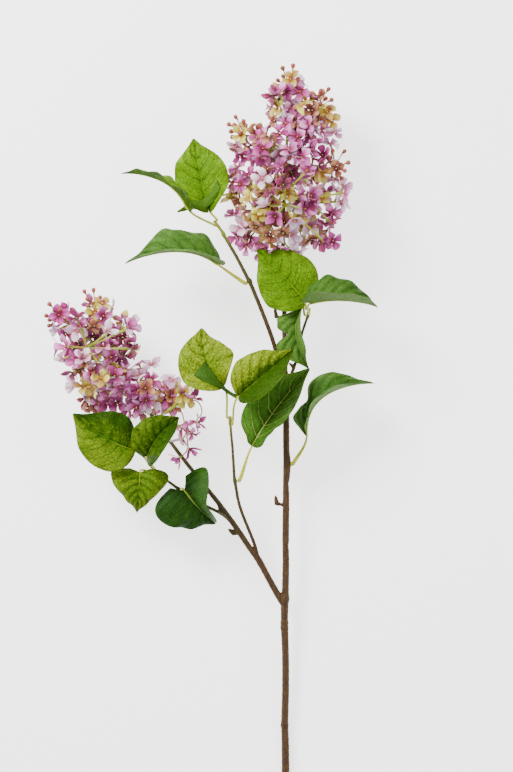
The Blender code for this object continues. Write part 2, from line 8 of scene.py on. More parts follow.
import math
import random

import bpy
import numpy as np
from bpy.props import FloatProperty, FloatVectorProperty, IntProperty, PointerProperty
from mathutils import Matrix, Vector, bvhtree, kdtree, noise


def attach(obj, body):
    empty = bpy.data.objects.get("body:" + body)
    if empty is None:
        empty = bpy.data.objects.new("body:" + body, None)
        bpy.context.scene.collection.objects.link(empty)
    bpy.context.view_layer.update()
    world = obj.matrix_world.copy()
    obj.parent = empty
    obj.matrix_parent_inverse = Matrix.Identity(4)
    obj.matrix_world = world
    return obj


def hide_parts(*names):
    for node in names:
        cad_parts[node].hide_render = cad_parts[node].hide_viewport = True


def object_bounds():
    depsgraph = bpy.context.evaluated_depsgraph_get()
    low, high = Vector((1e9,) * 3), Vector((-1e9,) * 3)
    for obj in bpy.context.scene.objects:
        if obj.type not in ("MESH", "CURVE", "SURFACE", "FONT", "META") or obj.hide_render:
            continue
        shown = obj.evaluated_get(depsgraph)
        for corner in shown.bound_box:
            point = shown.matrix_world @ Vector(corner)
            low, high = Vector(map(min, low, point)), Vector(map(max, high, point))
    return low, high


bl_info = {
    "name": "Lilac Stem",
    "version": (1, 0, 0),
    "blender": (4, 5, 0),
    "location": "View3D > Sidebar > Lilac Stem",
    "description": "Builds a cut lilac stem with its leaves, florets and buds, and the stage round it",
    "category": "Object",
}

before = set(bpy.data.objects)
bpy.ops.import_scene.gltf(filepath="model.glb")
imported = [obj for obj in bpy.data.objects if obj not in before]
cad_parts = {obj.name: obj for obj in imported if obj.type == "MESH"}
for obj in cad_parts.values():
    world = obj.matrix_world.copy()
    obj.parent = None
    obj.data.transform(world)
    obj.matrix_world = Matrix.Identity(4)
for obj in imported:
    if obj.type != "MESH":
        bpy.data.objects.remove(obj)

CAD_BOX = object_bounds()
MM = 0.001
WHITE = (1.0, 1.0, 1.0, 1.0)

# The sheet's point that lies over the origin.
SHEET_ACROSS = 211.75
SHEET_DOWN = 425.9
SEAT_GAP = 0.3 * MM

# How far the scene reaches below the solids: the bark, and the floor under it.
BARK_DROP = 0.2 * MM
FLOOR_DROP = 0.4 * MM

# Leaves, as the solids have them.
PETIOLE_RADIUS_AT_BLADE = 1.05 * MM
CLOSED_SHARE = 0.45

# Florets and buds, as the solids have them. A petal's outline is given by radius, turn and lift.
FLORET_RADIUS = 12.2 * MM
PETAL_THICKNESS = 0.8 * MM
PETALS = 4
PETAL_OUTLINE = ((0.40, -45.0, 0.0), (0.93, -26.0, 0.8), (0.99, 21.0, 1.0))
PLACE_DRAWS = 24
PEDICEL_REACH = (10.5 * MM, 15.0 * MM)
CUP_RANGE = (-2.5 * MM, 4.0 * MM)
ROLL_RANGE = (0.0, 1.5)
AXIS_RADII = (2.1 * MM, 1.9 * MM, 1.6 * MM, 1.2 * MM)
STALK_ROOT_RADIUS = 1.3 * MM
STALK_TIP_RADIUS = 0.9 * MM

# Stem outlines: across, down, height and radius in millimetres, from root to end. Places where the
# radius swells for a millimetre or two are the old leaf nodes.
MAIN_STEM = (
    (286.0, 786.0, 3.8, 4.1),
    (285.6, 750.0, 6.8, 3.9),
    (285.0, 731.0, 8.5, 3.8),
    (284.8, 727.0, 8.9, 4.4),
    (284.9, 723.0, 9.2, 3.8),
    (285.8, 690.0, 12.0, 3.7),
    (285.6, 655.0, 15.0, 3.7),
    (284.8, 632.0, 17.0, 3.8),
    (284.6, 629.0, 17.2, 4.5),
    (284.6, 626.5, 17.4, 3.9),
    (284.6, 624.0, 17.6, 4.4),
    (284.6, 620.0, 18.0, 3.8),
    (284.8, 606.0, 19.0, 4.0),
    (285.0, 600.0, 19.6, 4.9),
    (285.6, 592.0, 20.2, 3.7),
    (286.0, 560.0, 23.0, 3.5),
    (285.6, 545.0, 24.2, 3.2),
    (285.8, 541.0, 24.6, 3.6),
    (286.2, 500.0, 28.2, 3.5),
    (286.0, 483.0, 29.8, 3.0),
    (286.4, 480.0, 30.0, 3.5),
    (287.2, 464.0, 31.4, 4.0),
    (286.4, 448.0, 32.8, 3.4),
    (286.2, 412.0, 36.0, 3.3),
    (285.4, 378.0, 39.0, 3.4),
    (285.0, 366.0, 40.0, 2.7),
    (284.4, 330.0, 43.2, 2.5),
    (284.0, 290.0, 46.8, 2.4),
    (283.0, 253.0, 50.0, 2.2),
)
LEFT_BRANCH = (
    (285.0, 607.0, 18.8, 3.4),
    (278.5, 597.0, 20.4, 3.4),
    (268.0, 578.0, 23.0, 3.2),
    (258.5, 560.6, 25.6, 3.4),
    (250.0, 549.0, 27.6, 2.9),
    (238.0, 531.0, 30.4, 3.0),
    (222.6, 509.0, 33.8, 2.6),
    (207.0, 489.0, 37.0, 2.3),
    (204.5, 485.5, 37.6, 3.3),
    (201.5, 482.0, 38.0, 2.3),
    (187.0, 464.0, 40.4, 2.1),
    (174.0, 447.0, 42.2, 2.0),
    (166.0, 436.0, 43.2, 1.9),
)
MIDDLE_TWIG = (
    (259.5, 566.0, 25.0, 2.0),
    (254.5, 545.0, 29.5, 1.8),
    (240.5, 509.0, 38.0, 1.7),
    (235.6, 486.0, 43.4, 1.7),
    (235.0, 481.0, 44.6, 2.4),
    (234.2, 476.0, 45.8, 1.6),
    (232.6, 450.0, 51.6, 1.5),
    (230.6, 427.0, 57.0, 1.4),
    (230.4, 424.0, 57.6, 2.0),
    (230.0, 416.0, 59.4, 1.6),
)
LEFT_TWIG = (
    (243.0, 538.0, 29.0, 2.0),
    (226.0, 517.5, 31.0, 1.9),
    (208.0, 507.5, 33.0, 1.7),
    (192.0, 499.0, 34.4, 1.7),
    (180.0, 490.5, 36.0, 2.3),
    (174.0, 486.0, 37.4, 1.6),
    (161.0, 476.0, 42.0, 1.5),
    (149.0, 464.0, 47.6, 1.7),
)
RIGHT_TWIG = (
    (286.0, 388.0, 38.6, 1.6),
    (292.0, 373.0, 42.0, 1.7),
    (297.6, 356.0, 45.4, 1.5),
    (302.0, 334.0, 50.0, 1.4),
    (306.4, 320.0, 53.4, 1.4),
    (307.8, 316.0, 54.4, 2.0),
    (309.4, 308.0, 56.6, 1.6),
)
UPPER_TWIG = (
    (284.0, 392.0, 38.6, 2.2),
    (275.6, 350.0, 46.0, 2.3),
    (265.4, 320.0, 51.0, 2.2),
    (251.6, 286.0, 56.6, 2.1),
    (249.4, 281.0, 57.4, 2.9),
    (247.0, 277.0, 58.2, 2.0),
    (236.0, 256.0, 61.6, 1.8),
    (225.4, 238.0, 64.6, 1.7),
    (223.6, 234.6, 65.2, 2.5),
    (221.6, 231.0, 65.8, 1.6),
    (214.0, 221.0, 67.8, 1.6),
)
# Bud scales: root on the wood, belly and tip, then the belly's radius.
BUD_SCALES = (
    ((285.5, 506.5, 28.0), (276.6, 504.0, 28.6), (275.6, 495.0, 29.2), 2.6),
    ((284.2, 319.0, 44.2), (276.2, 316.6, 44.8), (274.6, 306.0, 45.2), 2.3),
    ((240.0, 534.5, 30.0), (233.6, 533.6, 29.0), (227.6, 529.2, 28.4), 2.7),
    ((228.0, 516.5, 33.0), (221.6, 511.6, 34.4), (217.6, 506.4, 35.4), 2.3),
    ((294.2, 370.0, 42.4), (291.4, 365.0, 44.0), (288.6, 362.4, 44.6), 1.5),
)

# Leaves. "node" is the stem outline and the station that carries the leaf, and how far back from
# that station it sits. Then the blade's base, the middle of the midrib and the tip, the direction
# its upper face looks in, its width, where it is widest and how sharply it narrows. "fold" says how
# far the left and right halves fold up from flat, "closed" how much more they do at the base, and
# "twist" how far the blade turns. "lobe" is how far the base's lobes reach back, and "sheath" the
# petiole's radius where it leaves the wood.
LEAVES = {
    "leaf_upper_face": dict(
        node=(UPPER_TWIG, -1, 1.5), base=(208.5, 209.0, 71.0), middle=(200.5, 176.0, 72.5),
        tip=(193.5, 138.5, 65.0), face=(0.05, -0.08, 1.0), width=55, widest=0.46, narrows=0.72,
        fold=(6, 6), closed=(34, 50), twist=0, lobe=0.06, sheath=1.2),
    "leaf_upper_left": dict(
        node=(UPPER_TWIG, -1, 5.0), base=(187.0, 207.5, 93.0), middle=(163.5, 183.0, 101.0),
        tip=(121.5, 173.5, 86.0), face=(0.26, 0.90, 0.30), width=32, widest=0.45, narrows=0.72,
        fold=(30, 6), closed=(14, 14), twist=18, lobe=0.10, sheath=1.2),
    "leaf_upper_low": dict(
        node=(UPPER_TWIG, 4, 0.0), base=(217.0, 264.0, 70.0), middle=(177.0, 252.0, 80.0),
        tip=(124.0, 263.5, 60.0), face=(0.0, 0.62, 0.76), width=50, widest=0.32, narrows=0.72,
        fold=(54, 8), closed=(0, 0), twist=-6, lobe=0.04, sheath=2.0),
    "leaf_right_face": dict(
        node=(RIGHT_TWIG, -1, 1.5), base=(304.0, 300.0, 62.0), middle=(283.5, 276.5, 66.0),
        tip=(257.0, 249.5, 67.0), face=(0.04, 0.0, 1.0), width=61, widest=0.41, narrows=0.72,
        fold=(2, 2), closed=(8, 8), twist=0, lobe=0.08, sheath=1.2),
    "leaf_right_side": dict(
        node=(RIGHT_TWIG, -1, 5.5), base=(311.0, 303.5, 79.0), middle=(343.0, 301.0, 86.0),
        tip=(378.5, 307.0, 66.0), face=(-0.02, 0.40, 0.92), width=50, widest=0.34, narrows=0.72,
        fold=(6, 84), closed=(0, 8), twist=0, lobe=0.10, sheath=1.2),
    "leaf_right_hanging": dict(
        node=(RIGHT_TWIG, -2, 0.0), base=(302.5, 306.5, 55.0), middle=(296.0, 336.0, 57.0),
        tip=(309.5, 369.5, 50.0), face=(-0.06, 0.0, 1.0), width=42, widest=0.50, narrows=0.90,
        fold=(72, 6), closed=(0, 0), twist=-10, lobe=0.0, sheath=1.2),
    "leaf_middle_face": dict(
        node=(MIDDLE_TWIG, -1, 1.5), base=(222.5, 385.0, 68.0), middle=(206.0, 361.0, 71.0),
        tip=(202.0, 327.5, 64.0), face=(0.0, -0.04, 1.0), width=57, widest=0.46, narrows=0.72,
        fold=(3, 5), closed=(45, 45), twist=0, lobe=0.03, sheath=1.2),
    "leaf_middle_folded": dict(
        node=(MIDDLE_TWIG, -2, 0.0), base=(239.0, 396.0, 80.0), middle=(264.5, 374.5, 86.0),
        tip=(293.5, 349.5, 78.0), face=(0.0, 0.0, 1.0), width=54, widest=0.38, narrows=0.72,
        fold=(4, 54), closed=(4, 4), twist=0, lobe=0.02, sheath=1.2),
    "leaf_middle_large": dict(
        node=(MIDDLE_TWIG, 4, 0.0), base=(252.0, 446.0, 55.0), middle=(276.0, 409.0, 60.0),
        tip=(310.0, 368.5, 58.0), face=(0.05, 0.0, 1.0), width=56, widest=0.44, narrows=0.62,
        fold=(2, 62), closed=(0, -16), twist=0, lobe=0.0, sheath=2.0),
    "leaf_stem_right": dict(
        node=(MAIN_STEM, 21, 0.0), base=(306.5, 437.0, 44.0), middle=(322.0, 398.0, 56.0),
        tip=(375.0, 382.5, 46.0), face=(-0.45, 0.53, 0.72), width=46, widest=0.58, narrows=0.85,
        fold=(10, 54), closed=(0, 0), twist=0, lobe=0.0, sheath=2.1),
    "leaf_left_face": dict(
        node=(LEFT_TWIG, -1, 1.5), base=(134.0, 449.0, 63.0), middle=(106.0, 438.0, 69.0),
        tip=(73.0, 413.5, 68.0), face=(0.0, 0.0, 1.0), width=60, widest=0.43, narrows=0.70,
        fold=(4, 5), closed=(10, 10), twist=0, lobe=0.03, sheath=1.2),
    "leaf_left_folded": dict(
        node=(LEFT_TWIG, -1, 6.0), base=(147.5, 456.0, 70.0), middle=(160.0, 435.0, 83.0),
        tip=(180.0, 417.0, 76.0), face=(-0.06, 0.0, 1.0), width=48, widest=0.38, narrows=0.70,
        fold=(6, 56), closed=(0, 0), twist=0, lobe=0.08, sheath=1.2),
    "leaf_left_pointed": dict(
        node=(LEFT_TWIG, -1, 10.5), base=(140.0, 472.0, 56.0), middle=(138.5, 493.0, 55.0),
        tip=(136.5, 514.5, 40.0), face=(0.0, -0.25, 0.97), width=58, widest=0.16, narrows=1.05,
        fold=(4, 4), closed=(0, 0), twist=0, lobe=0.08, sheath=1.2),
    "leaf_left_dark": dict(
        node=(LEFT_TWIG, 4, 0.0), base=(184.0, 490.0, 52.0), middle=(198.5, 507.5, 49.0),
        tip=(216.0, 525.0, 33.0), face=(0.0, 0.0, 1.0), width=76, widest=0.26, narrows=0.80,
        fold=(78, -4), closed=(-66, 0), twist=0, lobe=0.20, sheath=1.4),
}

# Flower heads. The axis runs from the stem's end to the tip. Each spray leaves the axis at a share
# of its length and ends at a place on the sheet. Then come its counts of buds and of florets; a
# spray with no bud ends in a floret more.
TOP_HEAD = dict(
    name="flower_head_top", seed=11,
    axis=((283.0, 253.0, 50.0), (283.5, 215.0, 52.0), (286.0, 160.0, 53.0), (289.0, 98.0, 54.0)),
    sprays=(
        (0.97, (290.0, 84.0, 56.0), 5, 3),
        (0.80, (317.0, 108.0, 58.0), 5, 3),
        (0.64, (243.0, 135.0, 60.0), 5, 4),
        (0.46, (334.0, 168.0, 62.0), 5, 4),
        (0.36, (241.0, 184.0, 62.0), 2, 4),
        (0.24, (334.0, 202.0, 54.0), 0, 3),
        (0.12, (318.0, 230.0, 50.0), 0, 3),
        (0.12, (251.0, 231.0, 50.0), 0, 3),
        (0.86, (281.0, 112.0, 66.0), 0, 2),
        (0.72, (304.0, 128.0, 76.0), 0, 3),
        (0.62, (268.0, 150.0, 84.0), 0, 4),
        (0.46, (298.0, 162.0, 90.0), 0, 4),
        (0.36, (266.0, 182.0, 90.0), 0, 4),
        (0.22, (256.0, 210.0, 82.0), 2, 3),
        (0.20, (306.0, 200.0, 88.0), 0, 4),
        (0.08, (284.0, 226.0, 82.0), 0, 3),
        (0.80, (300.0, 122.0, 28.0), 0, 2),
        (0.56, (260.0, 154.0, 18.0), 0, 2),
        (0.42, (308.0, 178.0, 16.0), 0, 2),
        (0.22, (264.0, 208.0, 14.0), 0, 2),
        (0.14, (304.0, 222.0, 18.0), 0, 1),
    ),
)
LEFT_HEAD = dict(
    name="flower_head_left", seed=23,
    axis=((166.0, 436.0, 43.2), (146.0, 408.0, 44.0), (112.0, 366.0, 44.0), (84.0, 332.0, 45.0)),
    sprays=(
        (0.96, (61.0, 317.0, 50.0), 5, 4),
        (0.86, (95.0, 305.0, 50.0), 5, 3),
        (0.68, (122.0, 328.0, 52.0), 0, 3),
        (0.62, (66.0, 350.0, 46.0), 0, 3),
        (0.36, (84.0, 386.0, 48.0), 0, 4),
        (0.38, (146.0, 372.0, 52.0), 0, 3),
        (0.20, (178.0, 392.0, 50.0), 3, 3),
        (0.03, (190.0, 424.0, 46.0), 0, 2),
        (0.84, (82.0, 334.0, 72.0), 0, 3),
        (0.62, (106.0, 350.0, 78.0), 0, 4),
        (0.44, (118.0, 378.0, 76.0), 0, 4),
        (0.24, (140.0, 398.0, 62.0), 0, 3),
        (0.76, (98.0, 334.0, 20.0), 0, 2),
        (0.48, (104.0, 374.0, 14.0), 0, 2),
        (0.24, (156.0, 394.0, 14.0), 0, 1),
    ),
)

# Each leaf's look, how dark its sprayed green is at the midrib, and how much darker it gets towards
# the right half and towards the tip. This dark green is partly spray and partly painted shade: a
# half that folds away from the light is painted darker.
LEAF_LOOKS = {
    "leaf_upper_face": ("bright", 0.15, 0.0, -0.1), "leaf_upper_left": ("bright", 0.10, 0.2, 0.0),
    "leaf_upper_low": ("side", 0.40, 0.2, 0.1), "leaf_right_face": ("bright", 0.04, 0.0, -0.2),
    "leaf_right_side": ("side", 0.30, -0.4, 0.0), "leaf_right_hanging": ("side", 0.05, 0.1, 0.0),
    # leaf_middle_folded's right half is painted fully dark: painted shade where it folds away from the
    # light.
    "leaf_middle_face": ("speckled", 0.10, 0.0, -0.3), "leaf_middle_folded": ("speckled", 1.00, 1.7, 0.0),
    "leaf_middle_large": ("deep", 0.20, 0.1, 0.1), "leaf_stem_right": ("side", 0.75, 0.3, 0.1),
    "leaf_left_face": ("mottled", 0.36, 0.7, 0.1), "leaf_left_folded": ("mottled", 0.68, 0.2, 0.2),
    "leaf_left_pointed": ("mottled", 0.14, -0.3, -0.1), "leaf_left_dark": ("dark", 0.80, 0.2, 0.0),
}

# Where a blade's outline swells or pinches: which half, the share of the length, how far the form
# spreads along it, and the change as a share of the half width.
RIM_FORMS = {
    "leaf_middle_large": ((1, 0.34, 0.05, -0.14), (1, 0.20, 0.13, -0.42), (-1, 0.06, 0.06, -0.35),
                          (-1, 0.50, 0.12, -0.08), (1, 0.62, 0.08, 0.06)),
    "leaf_right_hanging": ((1, 0.47, 0.06, -0.62), (1, 0.26, 0.05, 0.22), (1, 0.06, 0.08, -0.50),
                           (1, 0.68, 0.12, 0.12), (-1, 0.62, 0.12, 0.20)),
    "leaf_stem_right": ((-1, 0.09, 0.09, 2.10), (-1, 0.36, 0.07, -0.30), (1, 0.10, 0.08, 0.20),
                        (-1, 0.62, 0.07, 0.10), (-1, 0.78, 0.05, -0.14)),
    "leaf_upper_low": ((-1, 0.66, 0.08, -0.20), (-1, 0.48, 0.06, 0.14), (-1, 0.28, 0.05, -0.14),
                       (-1, 0.12, 0.06, 0.10), (1, 0.24, 0.08, 0.06), (1, 0.66, 0.09, 0.55)),
    "leaf_upper_left": ((1, 0.30, 0.08, -0.12), (-1, 0.55, 0.10, 0.14), (1, 0.72, 0.08, 0.16)),
    "leaf_right_side": ((1, 0.30, 0.07, 0.14), (1, 0.46, 0.07, -0.14), (-1, 0.30, 0.08, 0.10)),
    "leaf_left_face": ((-1, 0.25, 0.08, 0.05), (1, 0.75, 0.07, -0.06)),
    "leaf_left_folded": ((-1, 0.70, 0.08, -0.08), (-1, 0.30, 0.10, 0.05)),
    "leaf_left_pointed": ((1, 0.35, 0.07, 0.05), (-1, 0.55, 0.08, -0.06)),
    "leaf_left_dark": ((1, 0.55, 0.10, -0.08), (-1, 0.30, 0.08, 0.06)),
    "leaf_upper_face": ((1, 0.30, 0.08, 0.03), (-1, 0.55, 0.10, -0.05)),
    "leaf_right_face": ((-1, 0.35, 0.10, 0.05), (1, 0.60, 0.10, -0.04)),
    "leaf_middle_face": ((1, 0.70, 0.08, -0.05), (-1, 0.35, 0.10, 0.05)),
    "leaf_middle_folded": ((-1, 0.30, 0.10, 0.05), (-1, 0.80, 0.08, -0.08)),
}

# Base lobes that fold over the face of a leaf and show its back: pairs of places on the sheet,
# across and down, that lie on the two edges of the fold.
FOLDED_LOBES = {
    "leaf_upper_face": (
        (177.1, 211.6, 178.2, 213.0), (183.0, 207.6, 185.0, 211.6), (188.5, 203.0, 190.5, 209.4),
        (196.0, 201.4, 197.0, 210.4), (203.0, 200.4, 204.0, 210.8), (211.3, 191.4, 213.4, 203.2),
        (217.6, 180.8, 220.8, 188.6)),
    "leaf_middle_face": (
        (204.7, 361.3, 205.6, 361.5), (198.8, 368.8, 211.4, 369.4), (193.9, 375.4, 217.8, 378.4),
        (203.0, 380.6, 222.4, 384.0), (212.6, 385.2, 226.2, 388.2), (221.0, 388.8, 231.4, 391.8),
        (228.4, 394.2, 238.4, 395.4), (235.6, 398.6, 245.6, 398.4)),
}

# How green the wood is at the root and the end of each outline, from 0, brown, to 1, yellow-green.
WOOD_YOUTH = (
    (MAIN_STEM, 0.0, 0.26), (LEFT_BRANCH, 0.10, 0.66), (MIDDLE_TWIG, 0.16, 0.80),
    (LEFT_TWIG, 0.40, 0.80), (RIGHT_TWIG, 0.20, 0.80), (UPPER_TWIG, 0.06, 0.86),
)


def tint(red, green, blue):
    """A colour given as screen values from 0 to 255, as the linear values that shaders take."""
    shares = (red / 255.0, green / 255.0, blue / 255.0)
    return tuple(c / 12.92 if c <= 0.04045 else ((c + 0.055) / 1.055) ** 2.4 for c in shares)


def colour_setting(label, hint, default):
    """A colour that a user can change."""
    return FloatVectorProperty(name=label, description=hint, subtype="COLOR", min=0.0, max=1.0,
                               default=default)


def length_setting(label, hint, default):
    """A length that a user can change."""
    return FloatProperty(name=label, description=hint, unit="LENGTH", min=0.0, default=default)


class WoodSettings(bpy.types.PropertyGroup):
    """Sizes and colours of the stem."""
    ring_step: length_setting("Ring step", "Distance between rings along the wood", 1.6 * MM)
    ridge: length_setting("Ridge", "Height of the bark's ridges", 0.16 * MM)
    sides: IntProperty(name="Sides", description="Points round each ring", default=22, min=8)
    brown: colour_setting("Brown", "Bark of the main stem", (0.088, 0.041, 0.012))
    dark: colour_setting("Dark", "Furrows of the bark", (0.030, 0.015, 0.005))
    olive: colour_setting("Olive", "Bark of the branch and the twigs", (0.072, 0.064, 0.014))
    fresh: colour_setting("Fresh", "The twigs' newest growth", (0.28, 0.33, 0.03))


class LeafSettings(bpy.types.PropertyGroup):
    """Sizes and colours of the leaves."""
    rows: IntProperty(name="Rows", description="Points along a blade", default=76, min=12)
    columns: IntProperty(name="Columns", description="Points across half a blade", default=20, min=4)
    thickness: length_setting("Thickness", "Thickness of a blade", 0.45 * MM)
    vein_pairs: FloatProperty(name="Vein pairs", description="Side veins on each half", default=6.5)
    vein_sweep: FloatProperty(name="Vein sweep", description="How far a vein runs on towards the tip",
                              default=0.30)
    vein_depth: length_setting("Vein depth", "How deep the veins press in", 0.45 * MM)
    quilting: length_setting("Quilting", "How far the blade swells between veins", 0.95 * MM)
    wave: length_setting("Wave", "How far the rim waves", 1.7 * MM)
    petiole: colour_setting("Petiole", "Leaf stalks", (0.58, 0.57, 0.014))


class FlowerSettings(bpy.types.PropertyGroup):
    """Sizes and colours of the flower heads."""
    petal_half: length_setting("Petal half width", "Half the width of a petal", 4.8 * MM)
    petal_sheet: length_setting("Petal sheet", "Thickness of a petal", 0.3 * MM)
    throat: length_setting("Throat", "Radius of a floret's throat", 1.7 * MM)
    foot: length_setting("Foot", "Radius of a floret's tube at its root", 0.85 * MM)
    extra_florets: IntProperty(name="Extra florets", description="Added to each spray", default=4, min=0)
    bud: length_setting("Bud", "Radius of a bud", 2.45 * MM)
    stalk_green: colour_setting("Stalk green", "Spray stalks and tubes", (0.36, 0.42, 0.025))
    stalk_red: colour_setting("Stalk red", "Stalks near the buds", (0.34, 0.085, 0.030))
    axis: colour_setting("Axis", "The axis deep inside a head", (0.035, 0.040, 0.008))
    bud_rose: colour_setting("Bud rose", "Closed buds", (0.37, 0.080, 0.052))
    bud_brown: colour_setting("Bud brown", "Shaded side of the buds", (0.19, 0.060, 0.028))


class StageSettings(bpy.types.PropertyGroup):
    """The camera, the lights and the floor."""
    view_across: length_setting("View across", "Middle of the picture, across", 44.75 * MM)
    view_along: length_setting("View along", "Middle of the picture, along", 39.9 * MM)
    view_plane: length_setting("View plane", "Height at which the picture is to scale", 55.0 * MM)
    view_span: length_setting("View span", "What the picture's long side takes in", 0.772)
    lens: FloatProperty(name="Lens", description="Focal length in millimetres", default=300.0)
    floor: colour_setting("Floor", "The pale surface", (0.97, 0.97, 0.97))
    glow: FloatProperty(name="Glow", description="Light that the floor itself gives", default=2.0)
    key_power: FloatProperty(name="Key", description="Power of the main softbox in watts", default=62.0)
    fill_power: FloatProperty(name="Fill", description="Power of the fill softbox in watts", default=12.0)
    sky: FloatProperty(name="Sky", description="Strength of the even light", default=0.70)


# Finishes: what they are made with.

class Number:
    """A number that differs over a surface. Reckoning with it adds Math nodes."""

    def __init__(self, finish, socket):
        self.finish = finish
        self.socket = socket

    def __add__(self, other):
        return self.finish.maths("ADD", self, other)

    def __sub__(self, other):
        return self.finish.maths("SUBTRACT", self, other)

    def __rsub__(self, other):
        return self.finish.maths("SUBTRACT", other, self)

    def __mul__(self, other):
        return self.finish.maths("MULTIPLY", self, other)

    def __truediv__(self, other):
        return self.finish.maths("DIVIDE", self, other)

    def __pow__(self, other):
        return self.finish.maths("POWER", self, other)

    def __abs__(self):
        return self.finish.maths("ABSOLUTE", self)

    def to_and_fro(self, reach):
        """Runs from 0 to the reach and back, over and over."""
        return self.finish.maths("PINGPONG", self, reach)

    def eased(self, low, high):
        """0 where the number is at low, 1 at high, and smooth between."""
        wires = (("Value", self), ("From Min", low), ("From Max", high))
        return Number(self.finish, self.finish.add("MapRange", wires, interpolation_type="SMOOTHSTEP"))


class Finish:
    """A material in the making: its node tree and its shader."""

    def __init__(self, name):
        self.made = bpy.data.materials.new(name)
        self.made.use_nodes = True
        self.tree = self.made.node_tree
        self.shader = self.tree.nodes["Principled BSDF"]

    def add(self, kind, wires=(), output=0, **settings):
        """Adds a node with its settings, its sockets set or linked, and gives its output."""
        made = self.tree.nodes.new("ShaderNode" + kind)
        for key, value in settings.items():
            setattr(made, key, value)
        for socket, value in wires:
            if isinstance(value, Number):
                value = value.socket
            entry = made.inputs[socket]
            if isinstance(value, bpy.types.NodeSocket):
                self.tree.links.new(value, entry)
            elif entry.type == "RGBA":
                entry.default_value = (*value, 1.0)
            else:
                entry.default_value = value
        return made.outputs[output]

    def maths(self, operation, *values):
        """The result of a Math node."""
        return Number(self, self.add("Math", tuple(enumerate(values)), operation=operation))

    def mixed(self, share, first, second, way="MIX"):
        """Two colours mixed by a share."""
        wires = ((0, share), (6, first), (7, second))
        return self.add("Mix", wires, output=2, data_type="RGBA", blend_type=way)

    def painted(self, name):
        """The three numbers that a piece's points carry under a name."""
        read = self.add("Attribute", output="Vector", attribute_name=name)
        split = self.add("SeparateXYZ", ((0, read),)).node
        return [Number(self, socket) for socket in split.outputs]

    def place(self, stretch=(1.0, 1.0, 1.0)):
        """The place on the piece in metres, stretched along the axes."""
        spot = self.add("TexCoord", output="Object")
        return self.add("Mapping", ((0, spot), ("Scale", stretch)))

    def place_from(self, *numbers):
        """A place made up of numbers."""
        return self.add("CombineXYZ", tuple(enumerate(numbers)))

    def grain(self, scale, detail=3.0, roughness=0.5, place=None):
        """Noise from 0 to 1."""
        wires = (("Vector", self.place() if place is None else place), ("Scale", scale), ("Detail", detail),
                 ("Roughness", roughness))
        return Number(self, self.add("TexNoise", wires))

    def cells(self, scale, place, feature="F1"):
        """How far a place lies from the nearest cell's middle, or from the edge between two cells."""
        wires = (("Vector", place), ("Scale", scale))
        return Number(self, self.add("TexVoronoi", wires, feature=feature))

    def completed(self, colour, even, relief=None, depth=0.0, strength=1.0):
        """The material. What is even all over is set on the shader's own sockets."""
        self.tree.links.new(colour, self.shader.inputs["Base Color"])
        for socket, value in even.items():
            self.shader.inputs[socket].default_value = value
        if relief is not None:
            wires = (("Strength", strength), ("Distance", depth), ("Height", relief))
            self.tree.links.new(self.add("Bump", wires), self.shader.inputs["Normal"])
        return self.made


# Finishes: the wood and the leaves.

PORE_COLOUR = (0.28, 0.21, 0.13)


def bark_finish(settings):
    """Brown bark with lengthwise furrows and pale pores, greener where the wood is young."""
    finish = Finish("bark")
    youth, _, _ = finish.painted("wood_place")
    furrows = finish.grain(900.0, 5.0, 0.62, finish.place((1.0, 0.16, 1.0)))
    blotches = finish.grain(90.0)
    pores = finish.cells(420.0, finish.place((1.0, 0.45, 1.0)))
    old = finish.mixed(furrows.eased(0.32, 0.62), settings.dark, settings.brown)
    young = finish.mixed(furrows.eased(0.30, 0.50), settings.dark, settings.olive)
    fresh = finish.mixed(youth.eased(0.62, 0.88), young, settings.fresh)
    tone = youth + (blotches - 0.5) * 0.5
    colour = finish.mixed(tone.eased(0.12, 0.50), old, fresh)
    pale = finish.mixed(0.5, colour, PORE_COLOUR)
    colour = finish.mixed(pores.eased(0.16, 0.08) * 0.6, colour, pale)
    even = {"Roughness": 0.62, "Specular IOR Level": 0.25}
    return finish.completed(colour, even, furrows + pores * -0.3, 0.5 * MM)


# Each leaf look, as shares of light sent back: the ground near the veins and between them, the side
# veins, the midrib, the sprayed dark green, which also serves as painted shade, the underside, and how
# strongly the veins and the spray show.
LEAF_TINTS = {
    "bright": ((0.085, 0.200, 0.0003), (0.160, 0.310, 0.002), (0.035, 0.110, 0.001), (0.10, 0.23, 0.003),
               (0.024, 0.085, 0.0003), (0.070, 0.160, 0.010), 0.55, 0.90),
    "speckled": ((0.115, 0.200, 0.001), (0.300, 0.380, 0.014), (0.045, 0.110, 0.001), (0.045, 0.115, 0.001),
                 (0.016, 0.060, 0.0005), (0.045, 0.115, 0.010), 0.65, 0.95),
    "mottled": ((0.060, 0.145, 0.0003), (0.190, 0.285, 0.006), (0.014, 0.055, 0.0003), (0.06, 0.15, 0.003),
                (0.014, 0.052, 0.0002), (0.05, 0.13, 0.012), 0.60, 0.95),
    "deep": ((0.024, 0.092, 0.004), (0.080, 0.205, 0.016), (0.36, 0.52, 0.10), (0.56, 0.68, 0.16),
             (0.009, 0.036, 0.002), (0.035, 0.10, 0.016), 0.95, 0.90),
    "dark": ((0.020, 0.090, 0.004), (0.055, 0.180, 0.010), (0.060, 0.150, 0.020), (0.20, 0.34, 0.05),
             (0.008, 0.032, 0.002), (0.035, 0.10, 0.016), 0.45, 0.90),
    "side": ((0.055, 0.150, 0.014), (0.120, 0.240, 0.034), (0.035, 0.105, 0.010), (0.18, 0.32, 0.07),
             (0.020, 0.078, 0.004), (0.068, 0.165, 0.004), 0.55, 0.85),
}

# How strongly the pale specks, the dark flecks and the fine net of each look show.
LEAF_SPECKS = {"bright": (0.45, 0.35, 0.50), "speckled": (0.55, 0.55, 0.50), "mottled": (0.32, 0.40, 0.45),
               "deep": (0.22, 0.35, 0.06), "dark": (0.25, 0.40, 0.15), "side": (0.22, 0.25, 0.30)}
UNDERSIDE_VEINS = (0.32, 0.44, 0.12)
PETIOLE_STREAKS = (0.36, 0.40, 0.008)
PETIOLE_ROOT = (0.36, 0.32, 0.02)


